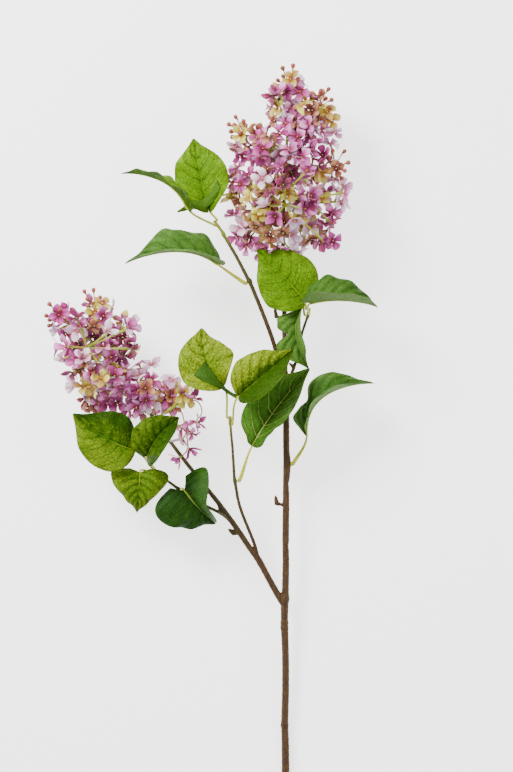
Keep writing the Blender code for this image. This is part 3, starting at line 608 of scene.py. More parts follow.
def leaf_veins(finish, along, out, settings):
    """How far places are from the side veins: along the blade in veins, and apart up to 0.5."""
    wobble = finish.grain(70.0)
    sweep = out ** 1.25 * settings.vein_sweep
    turned = (along - sweep) * settings.vein_pairs + wobble * 0.5
    return turned, turned.to_and_fro(0.5)


def leaf_finish(look, settings):
    """A printed leaf: mottled ground, arched side veins, a fine net and a paler underside.

    Its sprayed dark green is partly painted shade.
    """
    # streak is the sprayed dark green, which also paints shade.
    near, between, vein, rib, streak, under, vein_share, spray_and_shade_share = LEAF_TINTS[look]
    speck_share, fleck_share, net_share = LEAF_SPECKS[look]
    finish = Finish("leaf_" + look)
    along, across, face = finish.painted("leaf_place")
    out = abs(across)
    turned, apart = leaf_veins(finish, along, out, settings)
    patches = finish.grain(170.0, 5.0, 0.65)
    clouds = finish.grain(42.0)
    dots = finish.grain(560.0, 2.0, 0.6)

    # Where the side veins, the midrib and the net show.
    fading = (1.0 - out * 0.7) * clouds.eased(0.25, 0.60)
    vein_mask = apart.eased(0.075, 0.015) * fading
    rib_width = 0.040 - along * 0.028
    rib_mask = (out / rib_width).eased(1.15, 0.65)
    net = finish.cells(1.0, finish.place_from(turned * 3.4, across * 9.0), "DISTANCE_TO_EDGE")
    net_mask = net.eased(0.16, 0.03) * patches.eased(0.30, 0.60)

    # The ground, and the dark green sprayed over it, densest by the midrib and the veins.
    # Through the leaf's paint it is also painted shade, darkest on halves folded away from the light.
    lightness = apart * 0.5 + (patches * 0.9 + clouds) + out * 0.35
    ground = finish.mixed(lightness.eased(0.85, 1.55), near, between)
    by_veins = out.eased(0.30, 0.0) * apart.eased(0.35, 0.0)
    spray_and_shade = abs(face) - 1.0 + (clouds - 0.5) * 1.1 + (patches - 0.5) * 0.8 + by_veins * 0.30
    spray_and_shade = spray_and_shade + out.eased(0.10, 0.0) * 0.35
    ground = finish.mixed(spray_and_shade.eased(0.05, 0.95) * spray_and_shade_share, ground, streak)

    # Dark flecks, pale specks where the spray and painted shade are thin, the net, the veins and the rim.
    bright = tuple(min(1.0, 1.5 * c + 0.01) for c in between)
    thin_spray_and_shade = 1.0 - spray_and_shade.eased(0.30, 1.10) * 0.85
    ground = finish.mixed(dots.eased(0.47, 0.36) * fleck_share, ground, streak)
    ground = finish.mixed(dots.eased(0.52, 0.66) * speck_share * thin_spray_and_shade, ground, bright)
    ground = finish.mixed(net_mask * net_share, ground, vein)
    ground = finish.mixed(vein_mask * vein_share, ground, vein)
    ground = finish.mixed(out.eased(0.90, 1.0) * 0.35, ground, near)
    upper = finish.mixed(rib_mask * 0.85, ground, rib)

    # The underside.
    pale = finish.mixed(0.30, under, UNDERSIDE_VEINS)
    lower = finish.mixed(spray_and_shade.eased(0.2, 1.1) * 0.6, under, near)
    lower = finish.mixed(vein_mask * 0.55, lower, pale)
    lower = finish.mixed(rib_mask * 0.8, lower, pale)

    colour = finish.mixed(face.eased(-0.2, 0.2), lower, upper)
    even = {"Roughness": 0.48, "Specular IOR Level": 0.07, "Subsurface Weight": 0.06,
            "Subsurface Radius": (0.002, 0.003, 0.001), "Subsurface Scale": 0.5}
    relief = patches * 0.45 - (net_mask * 0.45 + vein_mask) + dots * 0.5
    return finish.completed(colour, even, relief, 1.1 * MM)


def petiole_finish(settings):
    """Smooth yellow-green leaf stalk, redder where it joins the wood."""
    finish = Finish("petiole")
    along, _, _ = finish.painted("leaf_place")
    streaks = finish.grain(260.0)
    green = finish.mixed(streaks.eased(0.35, 0.70), settings.petiole, PETIOLE_STREAKS)
    colour = finish.mixed(along.eased(0.25, 0.0), green, PETIOLE_ROOT)
    return finish.completed(colour, {"Roughness": 0.45}, streaks, 0.15 * MM, 0.6)


# Finishes: the flower heads and the floor.

# Each floret look: the throat, the middle of the petal, its rim, its streaks and the tube.
FLORET_TINTS = {
    "lilac": ((0.24, 0.020, 0.045), (0.50, 0.050, 0.265), (0.82, 0.350, 0.640), (0.25, 0.010, 0.110),
              (0.40, 0.22, 0.05)),
    "mauve": ((0.17, 0.008, 0.030), (0.37, 0.024, 0.185), (0.64, 0.140, 0.420), (0.16, 0.003, 0.070),
              (0.36, 0.15, 0.04)),
    "pale": ((0.46, 0.130, 0.180), (0.82, 0.500, 0.660), (0.96, 0.880, 0.920), (0.50, 0.150, 0.330),
             (0.46, 0.42, 0.07)),
    "cream": ((0.38, 0.140, 0.012), (0.56, 0.450, 0.034), (0.76, 0.710, 0.140), (0.44, 0.220, 0.016),
              (0.40, 0.36, 0.03)),
    "rusty": ((0.080, 0.008, 0.008), (0.30, 0.085, 0.032), (0.58, 0.310, 0.130), (0.100, 0.008, 0.010),
              (0.30, 0.14, 0.03)),
    # The maroon look is partly the florets' own colour and partly painted shade where the heads lie deep in
    # shade.
    "maroon": ((0.050, 0.002, 0.010), (0.17, 0.008, 0.045), (0.36, 0.050, 0.140), (0.060, 0.002, 0.014),
               (0.26, 0.10, 0.03)),
}
PETAL_SHADE = (0.64, 0.50, 0.62)
PISTIL_DARK = tint(196, 150, 40)
PISTIL_PALE = tint(232, 204, 96)
BUD_SEAMS = tint(96, 44, 44)


def floret_finish(look):
    """Thin printed petal cloth, darker and streaked towards the throat."""
    throat, middle, rim, streak, _ = FLORET_TINTS[look]
    finish = Finish("floret_" + look)
    out, across, tone = finish.painted("petal_place")
    cloth = finish.grain(700.0)
    clouds = finish.grain(120.0)
    brushed = finish.grain(1.6, 3.0, 0.6, finish.place_from(across * 2.6, out * 0.7, tone * 40.0))
    reach = out + (clouds - 0.5) * 0.6
    body = finish.mixed((reach + brushed).eased(0.72, 1.42), middle, rim)
    colour = finish.mixed(reach.eased(0.42, 0.02), body, throat)
    fading = out.eased(1.0, 0.2) * brushed.eased(0.65, 0.35)
    line_mask = (across * 2.1).to_and_fro(0.5).eased(0.20, 0.02) * fading
    colour = finish.mixed(line_mask * 0.75, colour, streak)
    colour = finish.mixed(abs(across).eased(0.80, 1.0) * 0.35, colour, streak)
    shade = finish.mixed(1.0, colour, PETAL_SHADE, "MULTIPLY")
    colour = finish.mixed(tone.eased(0.75, 0.0), colour, shade)
    even = {"Roughness": 0.62, "Specular IOR Level": 0.25, "Sheen Weight": 0.15,
            "Subsurface Weight": 0.15, "Subsurface Radius": (0.003, 0.0015, 0.003),
            "Subsurface Scale": 0.5}
    return finish.completed(colour, even, cloth * 0.5 - line_mask, 0.18 * MM, 0.7)


def tube_finish(look, settings):
    """The moulded tube of a floret, green at its root and tinged like the petals at its throat."""
    throat, _, _, _, body = FLORET_TINTS[look]
    finish = Finish("tube_" + look)
    along, _, _ = finish.painted("petal_place")
    clouds = finish.grain(220.0, 2.0)
    share = along + (clouds - 0.5) * 0.3
    colour = finish.mixed(share.eased(0.05, 0.60), settings.stalk_green, body)
    colour = finish.mixed(share.eased(0.72, 1.0), colour, throat)
    return finish.completed(colour, {"Roughness": 0.42}, clouds, 0.12 * MM, 0.5)


def pistil_finish():
    """The yellow tip in a floret's throat."""
    finish = Finish("pistil")
    clouds = finish.grain(900.0, 2.0)
    colour = finish.mixed(clouds, PISTIL_DARK, PISTIL_PALE)
    return finish.completed(colour, {"Roughness": 0.5}, clouds, 0.1 * MM, 0.5)


def stalk_finish(settings):
    """Spray stalks: dark axis, green stalks, reddish where they carry buds."""
    finish = Finish("spray_stalk")
    redness, depth, _ = finish.painted("petal_place")
    clouds = finish.grain(160.0)
    tone = redness + (clouds - 0.5) * 0.4
    colour = finish.mixed(tone.eased(0.30, 0.85), settings.stalk_green, settings.stalk_red)
    colour = finish.mixed(depth, colour, settings.axis)
    return finish.completed(colour, {"Roughness": 0.45}, clouds, 0.15 * MM, 0.5)


def bud_finish(settings):
    """Closed buds, rose and brown, with four faint seams."""
    finish = Finish("bud")
    along, around, tone = finish.painted("petal_place")
    clouds = finish.grain(320.0)
    share = clouds * 0.6 + tone * 0.5
    colour = finish.mixed(share.eased(0.30, 0.75), settings.bud_brown, settings.bud_rose)
    seams = (around * 4.0).to_and_fro(0.5)
    seam_mask = seams.eased(0.10, 0.0) * along.eased(0.35, 0.9)
    colour = finish.mixed(seam_mask * 0.6, colour, BUD_SEAMS)
    return finish.completed(colour, {"Roughness": 0.40}, clouds - seam_mask, 0.2 * MM, 0.6)


def floor_finish(settings):
    """Matt pale paper."""
    finish = Finish("floor")
    speckle = finish.grain(8.0)
    shade = tuple(c * 0.985 for c in settings.floor)
    even = {"Roughness": 0.9, "Specular IOR Level": 0.1, "Emission Color": WHITE,
            "Emission Strength": settings.glow}
    return finish.completed(finish.mixed(speckle, shade, settings.floor), even)


# Shapes shared by several pieces.

def on_sheet(place):
    """A place on the layout sheet, at the surface unless it has a height, as a point in metres."""
    across, down, height = (*place, 0.0)[:3]
    return Vector((across - SHEET_ACROSS, SHEET_DOWN - down, height)) * MM


def level_gap(first, second):
    """How far apart two points are as seen from above."""
    return math.hypot(first.x - second.x, first.y - second.y)


def smooth_step(t):
    """0 below 0, 1 above 1, and smooth between."""
    t = min(max(t, 0.0), 1.0)
    return t * t * (3.0 - 2.0 * t)


def even_shares(steps):
    """Shares from 0 to 1 in even steps."""
    return [i / steps for i in range(steps + 1)]


def arc(root, bend, tip, steps):
    """Points of an arc that leaves root towards bend and reaches tip from there."""
    return [root * (1 - t) ** 2 + bend * 2 * t * (1 - t) + tip * t * t for t in even_shares(steps)]


def across_to(direction):
    """Any unit vector at right angles to a direction, level where that is possible."""
    level = direction.cross(Vector((0.0, 0.0, 1.0)))
    if level.length < 1e-6:
        level = Vector((1.0, 0.0, 0.0))
    return level.normalized()


def rim_pairs(rows, wide):
    """The edges round the rim of a grid of points, as pairs of point numbers."""
    rim = list(range(wide)) + [r * wide + wide - 1 for r in range(1, rows)]
    rim += [(rows - 1) * wide + k for k in range(wide - 2, -1, -1)]
    rim += [r * wide for r in range(rows - 2, 0, -1)]
    return zip(rim, rim[1:] + rim[:1])


class Sheet:
    """Points, faces and painted numbers gathered for one mesh."""

    def __init__(self):
        self.points = []
        self.faces = []
        self.slots = []
        self.paint = []

    def add(self, points, faces, paint, slot):
        """Adds one shell."""
        start = len(self.points)
        self.points += points
        self.paint += paint
        self.faces += [tuple(start + i for i in face) for face in faces]
        self.slots += [slot] * len(faces)

    def grid(self, upper, lower, wide, paint, slot, turned_over=False):
        """Adds a closed thin shell between two grids of points, each this many points wide."""
        count = len(upper)
        rows = count // wide
        faces = []
        for r in range(rows - 1):
            for k in range(wide - 1):
                a = r * wide + k
                b, c, d = a + 1, a + wide, a + wide + 1
                if turned_over:
                    b, c = c, b
                faces.append((a, b, d, c))
                faces.append((c + count, d + count, b + count, a + count))
        for a, b in rim_pairs(rows, wide):
            if turned_over:
                a, b = b, a
            faces.append((b, a, a + count, b + count))
        self.add(upper + lower, faces, paint, slot)

    def tube(self, line, radii, sides, slot, paint):
        """Adds a closed tube through a line. paint(share along, share round) gives its numbers."""
        last = len(line) - 1
        points, numbers, faces = [], [], []
        side = across_to((line[1] - line[0]).normalized())
        for i, (point, radius) in enumerate(zip(line, radii)):
            ahead = (line[min(i + 1, last)] - line[max(i - 1, 0)]).normalized()
            side = (side - ahead * side.dot(ahead)).normalized()
            up = side.cross(ahead)
            for k in range(sides):
                turn = 2.0 * math.pi * (k + 0.5) / sides
                points.append(point + (side * math.sin(turn) - up * math.cos(turn)) * radius)
                numbers.append(paint(i / last, k / sides))
        faces.append(tuple(range(sides)))
        for i in range(last):
            low = i * sides
            for k in range(sides):
                n = (k + 1) % sides
                faces.append((low + n, low + k, low + sides + k, low + sides + n))
        top = last * sides
        faces.append(tuple(range(top + sides - 1, top - 1, -1)))
        self.add(points, faces, numbers, slot)

    def piece(self, name, finishes, paint_name):
        """The finished object, smooth and linked to the scene."""
        mesh = bpy.data.meshes.new(name)
        mesh.from_pydata(self.points, [], self.faces)
        for finish in finishes:
            mesh.materials.append(finish)
        mesh.polygons.foreach_set("material_index", self.slots)
        mesh.polygons.foreach_set("use_smooth", [True] * len(self.faces))
        numbers = mesh.attributes.new(paint_name, "FLOAT_VECTOR", "POINT")
        numbers.data.foreach_set("vector", np.array(self.paint, dtype=np.float32).ravel())
        mesh.update()
        made = bpy.data.objects.new(name, mesh)
        bpy.context.scene.collection.objects.link(made)
        return made


def joins_frame(piece, node):
    """The piece stands for a node and moves with the part."""
    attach(piece, "root")
    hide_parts(node)


# The wood: the step of its joined skin, and how fine its ridges and warts are, per metre.

JOIN_STEP = 0.75 * MM
RIDGE_NOISE = (700.0, 60.0, 700.0)
WART_NOISE = 330.0


def curve_through(places, longest):
    """Points and radii of a smooth line through (x, y, z, radius) places, no step over longest."""
    points, radii = [], []
    line = [on_sheet(p) for p in places]
    sizes = [p[3] * MM for p in places]
    last = len(line) - 1
    for i in range(last):
        before, start = line[max(i - 1, 0)], line[i]
        end, after = line[i + 1], line[min(i + 2, last)]
        steps = max(1, round((end - start).length / longest))
        for k in range(steps):
            t = k / steps
            points.append(0.5 * (
                2.0 * start + (end - before) * t
                + (2.0 * before - 5.0 * start + 4.0 * end - after) * t ** 2
                + (3.0 * start - before - 3.0 * end + after) * t ** 3))
            radii.append(sizes[i] + (sizes[i + 1] - sizes[i]) * smooth_step(t))
    points.append(line[-1])
    radii.append(sizes[-1])
    return points, radii


def youth_map():
    """Places along the wood with how young it is there, and a tree to look them up."""
    places, youths = [], []
    for outline, root, end in WOOD_YOUTH:
        points, _ = curve_through(outline, 3.0 * MM)
        for i, point in enumerate(points):
            share = i / (len(points) - 1)
            places.append(point)
            youths.append(root + (end - root) * share ** 1.6)
    tree = kdtree.KDTree(len(places))
    for i, place in enumerate(places):
        tree.insert(place, i)
    tree.balance()
    return tree, youths


def unpainted(along, around):
    """Paint for tubes that are painted later."""
    return 0.0, 0.0, 0.0


def add_bud_scales(sheet, root, belly, tip, radius):
    """A leaf bud in its two scales, one on each side."""
    root, belly, tip = (on_sheet(p) for p in (root, belly, tip))
    radii = [0.8 * MM, 0.86 * radius * MM, 0.62 * radius * MM, 0.3 * MM]
    for turn in (-0.5, 0.5):
        lean = across_to((tip - belly).normalized()) * turn * radius * 0.5 * MM
        line = [root, belly + lean, belly.lerp(tip, 0.55) + lean * 0.7, tip]
        sheet.tube(line, radii, 10, 0, unpainted)


def wood_form(settings):
    """The stem, branch, twigs and bud scales as closed tubes, ready to be joined."""
    sheet = Sheet()
    for outline, _, _ in WOOD_YOUTH:
        points, radii = curve_through(outline, settings.ring_step)
        radii = [r * (1.0 + 0.03 * math.sin(1.7 * i) * math.sin(0.31 * i)) for i, r in enumerate(radii)]
        sheet.tube(points, radii, settings.sides, 0, unpainted)
    for root, belly, tip, radius in BUD_SCALES:
        add_bud_scales(sheet, root, belly, tip, radius)
    return sheet


def joined(piece, graph):
    """One skin round the tubes that make up the wood."""
    join = piece.modifiers.new("join", "REMESH")
    join.mode = "VOXEL"
    join.voxel_size = JOIN_STEP
    join.use_smooth_shade = True
    graph.update()
    mesh = bpy.data.meshes.new_from_object(piece.evaluated_get(graph))
    piece.modifiers.clear()
    return mesh


def weather(mesh, settings):
    """Raises ridges and warts on the wood, and paints how young each place is."""
    tree, youths = youth_map()
    low = CAD_BOX[0][2] - BARK_DROP
    places, numbers = [], []
    for vertex, normal in zip(mesh.vertices, mesh.vertex_normals):
        place = vertex.co
        _, index, _ = tree.find(place)
        across, along, up = (place[i] * RIDGE_NOISE[i] for i in range(3))
        ridges = noise.noise(Vector((across, along, up)))
        warts = max(0.0, noise.noise(place * WART_NOISE) - 0.35) * 2.0
        moved = place + normal.vector * settings.ridge * (ridges + warts)
        moved.z = max(moved.z, low)
        places.append(moved)
        numbers.append((youths[index], 0.0, 0.0))
    mesh.vertices.foreach_set("co", np.array(places, dtype=np.float32).ravel())
    paint = mesh.attributes.get("wood_place")
    if paint is None:
        paint = mesh.attributes.new("wood_place", "FLOAT_VECTOR", "POINT")
    paint.data.foreach_set("vector", np.array(numbers, dtype=np.float32).ravel())
    mesh.polygons.foreach_set("use_smooth", [True] * len(mesh.polygons))
    mesh.update()


class LILAC_OT_wood(bpy.types.Operator):
    """Builds the woody stem with its branch, twigs, nodes and bud scales"""
    bl_idname = "lilac.wood"
    bl_label = "Woody Stem"

    def execute(self, context):
        settings = context.scene.lilac_wood
        piece = wood_form(settings).piece("stem_bark", [bark_finish(settings)], "wood_place")
        piece.data = joined(piece, context.evaluated_depsgraph_get())
        weather(piece.data, settings)
        joins_frame(piece, "woody_stem")
        return {"FINISHED"}


# The leaves. Half widths from which a blade is fully quilted and its rim fully wavy, how wide its
# midrib is pressed in, and how far its tip droops.

QUILTED_FROM = 8.0 * MM
WAVY_FROM = 10.0 * MM
MIDRIB_REACH = 0.9 * MM
TIP_DROOP = 0.9 * MM

# A folded lobe's rows between two pairs of places, its points across, how far it lies off the blade
# and rolls up, and its ripple.
LOBE_STEPS = 4
LOBE_COLUMNS = 9
LOBE_LIFT = 0.7 * MM
LOBE_ROLL = 1.1 * MM
LOBE_RIPPLE = 0.25 * MM

# A petiole's steps to the blade and along its midrib, and how far along the blade it shows.
PETIOLE_STEPS = 14
MIDRIB_STEPS = 26
MIDRIB_SHARE = 0.86


def blade_share(leaf, s):
    """Half width of the blade at a share s of its length, as a share of the largest."""
    power = math.log(0.5) / math.log(leaf["widest"])
    return max(0.0, math.sin(math.pi * s ** power)) ** leaf["narrows"]


def midrib(leaf, s):
    """The midrib's point, direction and upward normal at a share s of the blade's length."""
    base, middle, tip = (on_sheet(leaf[k]) for k in ("base", "middle", "tip"))
    pull = 2.0 * middle - 0.5 * (base + tip)
    point = base * (1 - s) ** 2 + pull * 2 * s * (1 - s) + tip * s ** 2
    ahead = ((pull - base) * (1 - s) + (tip - pull) * s).normalized()
    face = Vector(leaf["face"])
    face = Matrix.Rotation(math.radians(leaf["twist"]) * (s - 0.4), 3, ahead) @ face
    normal = (face - ahead * face.dot(ahead)).normalized()
    return point, ahead, normal


def vein_phase(settings, s, u):
    """Which side vein a place is near: whole numbers lie on veins."""
    return (s - settings.vein_sweep * abs(u) ** 1.25) * settings.vein_pairs


def rim_change(forms, s, u):
    """How much the outline swells or pinches at a place of a blade."""
    change = 1.0
    for half, place, spread, share in forms:
        if half * u > 0.0:
            change += share * math.exp(-((s - place) / spread) ** 2) * abs(u)
    return change


def blade_relief(leaf, s, u, half, settings):
    """How far quilting, veins, midrib and wavy rim lift a place off the blade's broad form."""
    apart = abs((vein_phase(settings, s, u) + 0.5) % 1.0 - 0.5)
    inside = math.sin(math.pi * min(abs(u), 1.0)) ** 0.5 * smooth_step(half / QUILTED_FROM)
    inside *= smooth_step((1.0 - s) / 0.25)
    quilt = settings.quilting * (math.sin(math.pi * apart) ** 0.8 - 0.5) * inside
    press = settings.vein_depth * math.exp(-(apart / 0.07) ** 2) * inside
    rib = settings.vein_depth * math.exp(-(u * half / MIDRIB_REACH) ** 2)
    rim = settings.wave * math.sin(23.0 * s + (0.7 if u < 0 else 2.9) + leaf["width"]) * abs(u) ** 3
    rim *= smooth_step(half / WAVY_FROM)
    return quilt - press - rib + rim


def blade_point(leaf, forms, s, u, settings):
    """A point of the blade's middle surface: s along the midrib, u across from -1 to 1."""
    point, ahead, normal = midrib(leaf, s)
    side = ahead.cross(normal)
    length = (on_sheet(leaf["tip"]) - on_sheet(leaf["base"])).length
    half = 0.5 * leaf["width"] * MM * blade_share(leaf, s)
    half *= 1.0 - 0.50 * smooth_step((s - 0.70) / 0.30)
    half *= rim_change(forms, s, u)
    half_of_two = 0 if u < 0 else 1
    closing = leaf["closed"][half_of_two] * (1.0 - smooth_step(s / CLOSED_SHARE))
    fold = math.radians(leaf["fold"][half_of_two] + closing)
    bow = 0.10 * half * (1.0 - (2.0 * abs(u) - 1.0) ** 2)
    wave = 0.05 * half * math.sin(9.0 * s + (1.3 if u < 0 else 3.1)) * u * u
    lobe = leaf["lobe"] * length * (1.0 - smooth_step(s / 0.55)) * abs(u) ** 1.3
    out = abs(u) * half
    droop = TIP_DROOP * (max(0.0, s - 0.8) / 0.2) ** 2
    lift = out * math.sin(fold) + bow + wave + blade_relief(leaf, s, u, half, settings) - droop
    return point + side * math.copysign(out * math.cos(fold), u) + normal * lift - ahead * lobe


def spray_and_shade_dark(look, s, u):
    """How dark the sprayed green and the painted shade are at a place of a blade, from 0 to 1."""
    _, middle, by_half, by_length = look
    return min(max(middle + by_half * u + by_length * (s - 0.3), 0.0), 1.4)


def add_blade(sheet, name, leaf, look, settings):
    """The blade as a closed thin sheet. Its paint's third number has the face's sign, and past 1 how
    dark its spray and painted shade are.
    """
    shares = [0.004 + 0.992 * share for share in even_shares(settings.rows - 1)]
    steps = range(-settings.columns, settings.columns + 1)
    columns = [math.copysign(abs(k / settings.columns) ** 0.9, k) for k in steps]
    forms = RIM_FORMS[name]
    grid = np.array([[blade_point(leaf, forms, s, u, settings) for u in columns] for s in shares])
    normal = np.cross(np.gradient(grid, axis=1), np.gradient(grid, axis=0))
    normal /= np.maximum(np.linalg.norm(normal, axis=2, keepdims=True), 1e-12)
    upper = (grid + normal * settings.thickness / 2).reshape(-1, 3)
    lower = (grid - normal * settings.thickness / 2).reshape(-1, 3)
    paint = [(s, u, 1.0 + spray_and_shade_dark(look, s, u)) for s in shares for u in columns]
    paint += [(s, u, -dark) for s, u, dark in paint]
    sheet.grid([tuple(p) for p in upper], [tuple(p) for p in lower], len(columns), paint, 0)


def add_folded_lobe(sheet, leaf, pairs, settings):
    """A lobe of the base folded over onto the face, as a closed thin sheet lying on the blade."""
    blade = bvhtree.BVHTree.FromPolygons(sheet.points, sheet.faces)
    high = on_sheet(leaf["base"]).z
    rows = LOBE_STEPS * (len(pairs) - 1) + 1
    upper, paint = [], []
    for r in range(rows):
        i = min(r // LOBE_STEPS, len(pairs) - 2)
        t = r / LOBE_STEPS - i
        left = on_sheet(pairs[i][:2]).lerp(on_sheet(pairs[i + 1][:2]), t)
        right = on_sheet(pairs[i][2:]).lerp(on_sheet(pairs[i + 1][2:]), t)
        for v in even_shares(LOBE_COLUMNS - 1):
            place = left.lerp(right, v)
            hit = blade.ray_cast(place + Vector((0.0, 0.0, 1.0)), Vector((0.0, 0.0, -1.0)))[0]
            under = hit.z if hit is not None else high
            roll = math.sin(math.pi * v) * LOBE_ROLL + math.sin(5.0 * v + 0.7 * r) * LOBE_RIPPLE
            upper.append([place.x, place.y, under + LOBE_LIFT + roll])
            paint.append((0.10 + 0.4 * r / rows, 0.10 + 0.85 * v, -1.3))
    heights = np.array(upper).reshape(rows, LOBE_COLUMNS, 3)
    for _ in range(4):
        heights[1:-1, :, 2] = np.maximum(
            heights[1:-1, :, 2], 0.5 * (heights[:-2, :, 2] + heights[2:, :, 2]))
    upper = [tuple(p) for p in heights.reshape(-1, 3)]
    lower = [(x, y, z - settings.thickness) for x, y, z in upper]
    sheet.grid(upper, lower, LOBE_COLUMNS, paint + paint, 0)


def leaf_seat(leaf):
    """Where a petiole leaves the wood: a point just off its surface, and the way straight out."""
    outline, station, back = leaf["node"]
    index = station % len(outline)
    here = on_sheet(outline[index])
    before = on_sheet(outline[max(index - 1, 0)])
    after = on_sheet(outline[min(index + 1, len(outline) - 1)])
    along = (after - before).normalized()
    centre = here - along * back * MM
    towards = on_sheet(leaf["base"]) - centre
    outwards = (towards - along * towards.dot(along)).normalized()
    return centre + outwards * (outline[index][3] * MM + SEAT_GAP), outwards


def add_petiole(sheet, leaf, settings):
    """The petiole, swollen at the wood, running on under the blade as its midrib."""
    root, outwards = leaf_seat(leaf)
    base = on_sheet(leaf["base"])
    _, ahead, _ = midrib(leaf, 0.0)
    span = (base - root).length
    sheath = leaf["sheath"] * MM
    knee = root + outwards * sheath
    first = knee + (base - root).normalized() * 0.25 * span
    second = base - ahead * 0.3 * span
    line, radii = [root, root.lerp(knee, 0.5)], [0.92 * sheath, 1.05 * sheath]
    for i in range(PETIOLE_STEPS):
        t = i / PETIOLE_STEPS
        line.append(knee * (1 - t) ** 3 + first * 3 * t * (1 - t) ** 2
                    + second * 3 * t * t * (1 - t) + base * t ** 3)
        radii.append(sheath + (PETIOLE_RADIUS_AT_BLADE - sheath) * smooth_step(t * 0.95))
    for share in even_shares(MIDRIB_STEPS):
        point, _, normal = midrib(leaf, MIDRIB_SHARE * share)
        radius = PETIOLE_RADIUS_AT_BLADE * (1.0 - 0.8 * share ** 0.7)
        line.append(point - normal * (settings.vein_depth + 0.5 * radius))
        radii.append(radius)
    cut = (2 + PETIOLE_STEPS) / len(line)
    sheet.tube(line, radii, 10, 1, lambda along, around: (min(along / cut, 1.0), around, -1.0))


class LILAC_OT_leaves(bpy.types.Operator):
    """Builds each leaf: its veined blade, its midrib and its petiole"""
    bl_idname = "lilac.leaves"
    bl_label = "Leaves"

    def execute(self, context):
        settings = context.scene.lilac_leaf
        finishes = {look: leaf_finish(look, settings) for look in LEAF_TINTS}
        petiole = petiole_finish(settings)
        for name, leaf in LEAVES.items():
            sheet = Sheet()
            look = LEAF_LOOKS[name]
            add_blade(sheet, name, leaf, look, settings)
            if name in FOLDED_LOBES:
                add_folded_lobe(sheet, leaf, FOLDED_LOBES[name], settings)
            add_petiole(sheet, leaf, settings)
            piece = sheet.piece(name + "_veined", [finishes[look[0]], petiole], "leaf_place")
            joins_frame(piece, name)
        return {"FINISHED"}


# The flower heads.

def axis_point(line, share):
    """The point at a share of a line's length."""
    lengths = [(b - a).length for a, b in zip(line, line[1:])]
    left = share * sum(lengths)
    for (a, b), length in zip(zip(line, line[1:]), lengths):
        if left <= length:
            return a.lerp(b, left / length)
        left -= length
    return line[-1].copy()


def spray_line(head_line, share, tip):
    """A spray's stalk: it leaves the axis leaning towards the head's tip and bows outwards."""
    root = axis_point(head_line, share)
    ahead = (head_line[-1] - head_line[0]).normalized()
    bend = root.lerp(tip, 0.5) + ahead * 0.12 * (tip - root).length
    return [root, root.lerp(bend, 0.55) * 0.5 + bend * 0.5, tip]


def lean_from(ahead, turn, lean):
    """The direction that leans away from ahead, at a turn round it."""
    out = Matrix.Rotation(turn, 3, ahead) @ across_to(ahead)
    return (ahead * math.cos(lean) + out * math.sin(lean)).normalized()


def roomiest(draw, stalk, ahead, along, leans, taken):
    """Of several draws of a floret's place on a spray, the one with most room round it."""
    best = None
    for _ in range(PLACE_DRAWS):
        root = axis_point(stalk, min(along + draw.uniform(-0.06, 0.06), 0.97))
        facing = lean_from(ahead, draw.uniform(0.0, 2.0 * math.pi), math.radians(draw.uniform(*leans)))
        centre = root + facing * draw.uniform(*PEDICEL_REACH)
        room = min([(centre - other).length for other in taken] + [2.4 * FLORET_RADIUS])
        room -= 0.5 * max(0.0, FLORET_RADIUS * 0.4 - centre.z)
        if best is None or room > best[0]:
            best = (room, root, centre, facing)
    taken.append(best[2])
    return best[1:]


def off_the_floor(centre, facing, roll, cup):
    """The floret's centre, raised where a petal would reach below the surface."""
    side = across_to(facing)
    up = facing.cross(side)
    lowest = 0.0
    for k in range(PETALS):
        for radius, turn, lift in PETAL_OUTLINE:
            angle = roll + k * 2.0 * math.pi / PETALS + math.radians(turn)
            out = side * math.cos(angle) + up * math.sin(angle)
            rim = centre + out * radius * FLORET_RADIUS + facing * lift * cup
            lowest = min(lowest, rim.z, rim.z - facing.z * PETAL_THICKNESS)
    return centre - Vector((0.0, 0.0, lowest))


def drawn_floret(draw, root, centre, facing):
    """A floret whose roll and cup are drawn, clear of the surface and with no look of its own."""
    roll, cup = draw.uniform(*ROLL_RANGE), draw.uniform(*CUP_RANGE)
    return root, off_the_floor(centre, facing, roll, cup), facing, roll, cup, None


def head_plan(head):
    """Where the head's axis, stalks and main florets are, by the same draws as the solids."""
    draw = random.Random(head["seed"])
    line = [on_sheet(p) for p in head["axis"]]
    plan = {"axis": [line[0] + (line[1] - line[0]).normalized() * SEAT_GAP] + line[1:],
            "stalks": [], "florets": []}
    taken = []
    for share, place, buds, florets in head["sprays"]:
        stalk = spray_line(line, share, on_sheet(place))
        plan["stalks"].append((stalk, buds))
        ahead = (stalk[2] - stalk[1]).normalized()
        if buds == 0:
            taken.append(stalk[2] + ahead * PEDICEL_REACH[0])
            plan["florets"].append(drawn_floret(draw, stalk[2], taken[-1], ahead))
        for i in range(florets):
            along = 0.45 + 0.5 * (i + 0.5) / florets
            leans = (70.0 - 30.0 * along, 96.0 - 36.0 * along)
            seat = roomiest(draw, stalk, ahead, along, leans, taken)
            plan["florets"].append(drawn_floret(draw, *seat))
        skip_bud_draws(draw, buds)
    return plan


def skip_bud_draws(draw, buds):
    """Passes over the two numbers that the solids draw for each bud: BUD_SPOTS places them here."""
    for _ in range(2 * buds):
        draw.random()
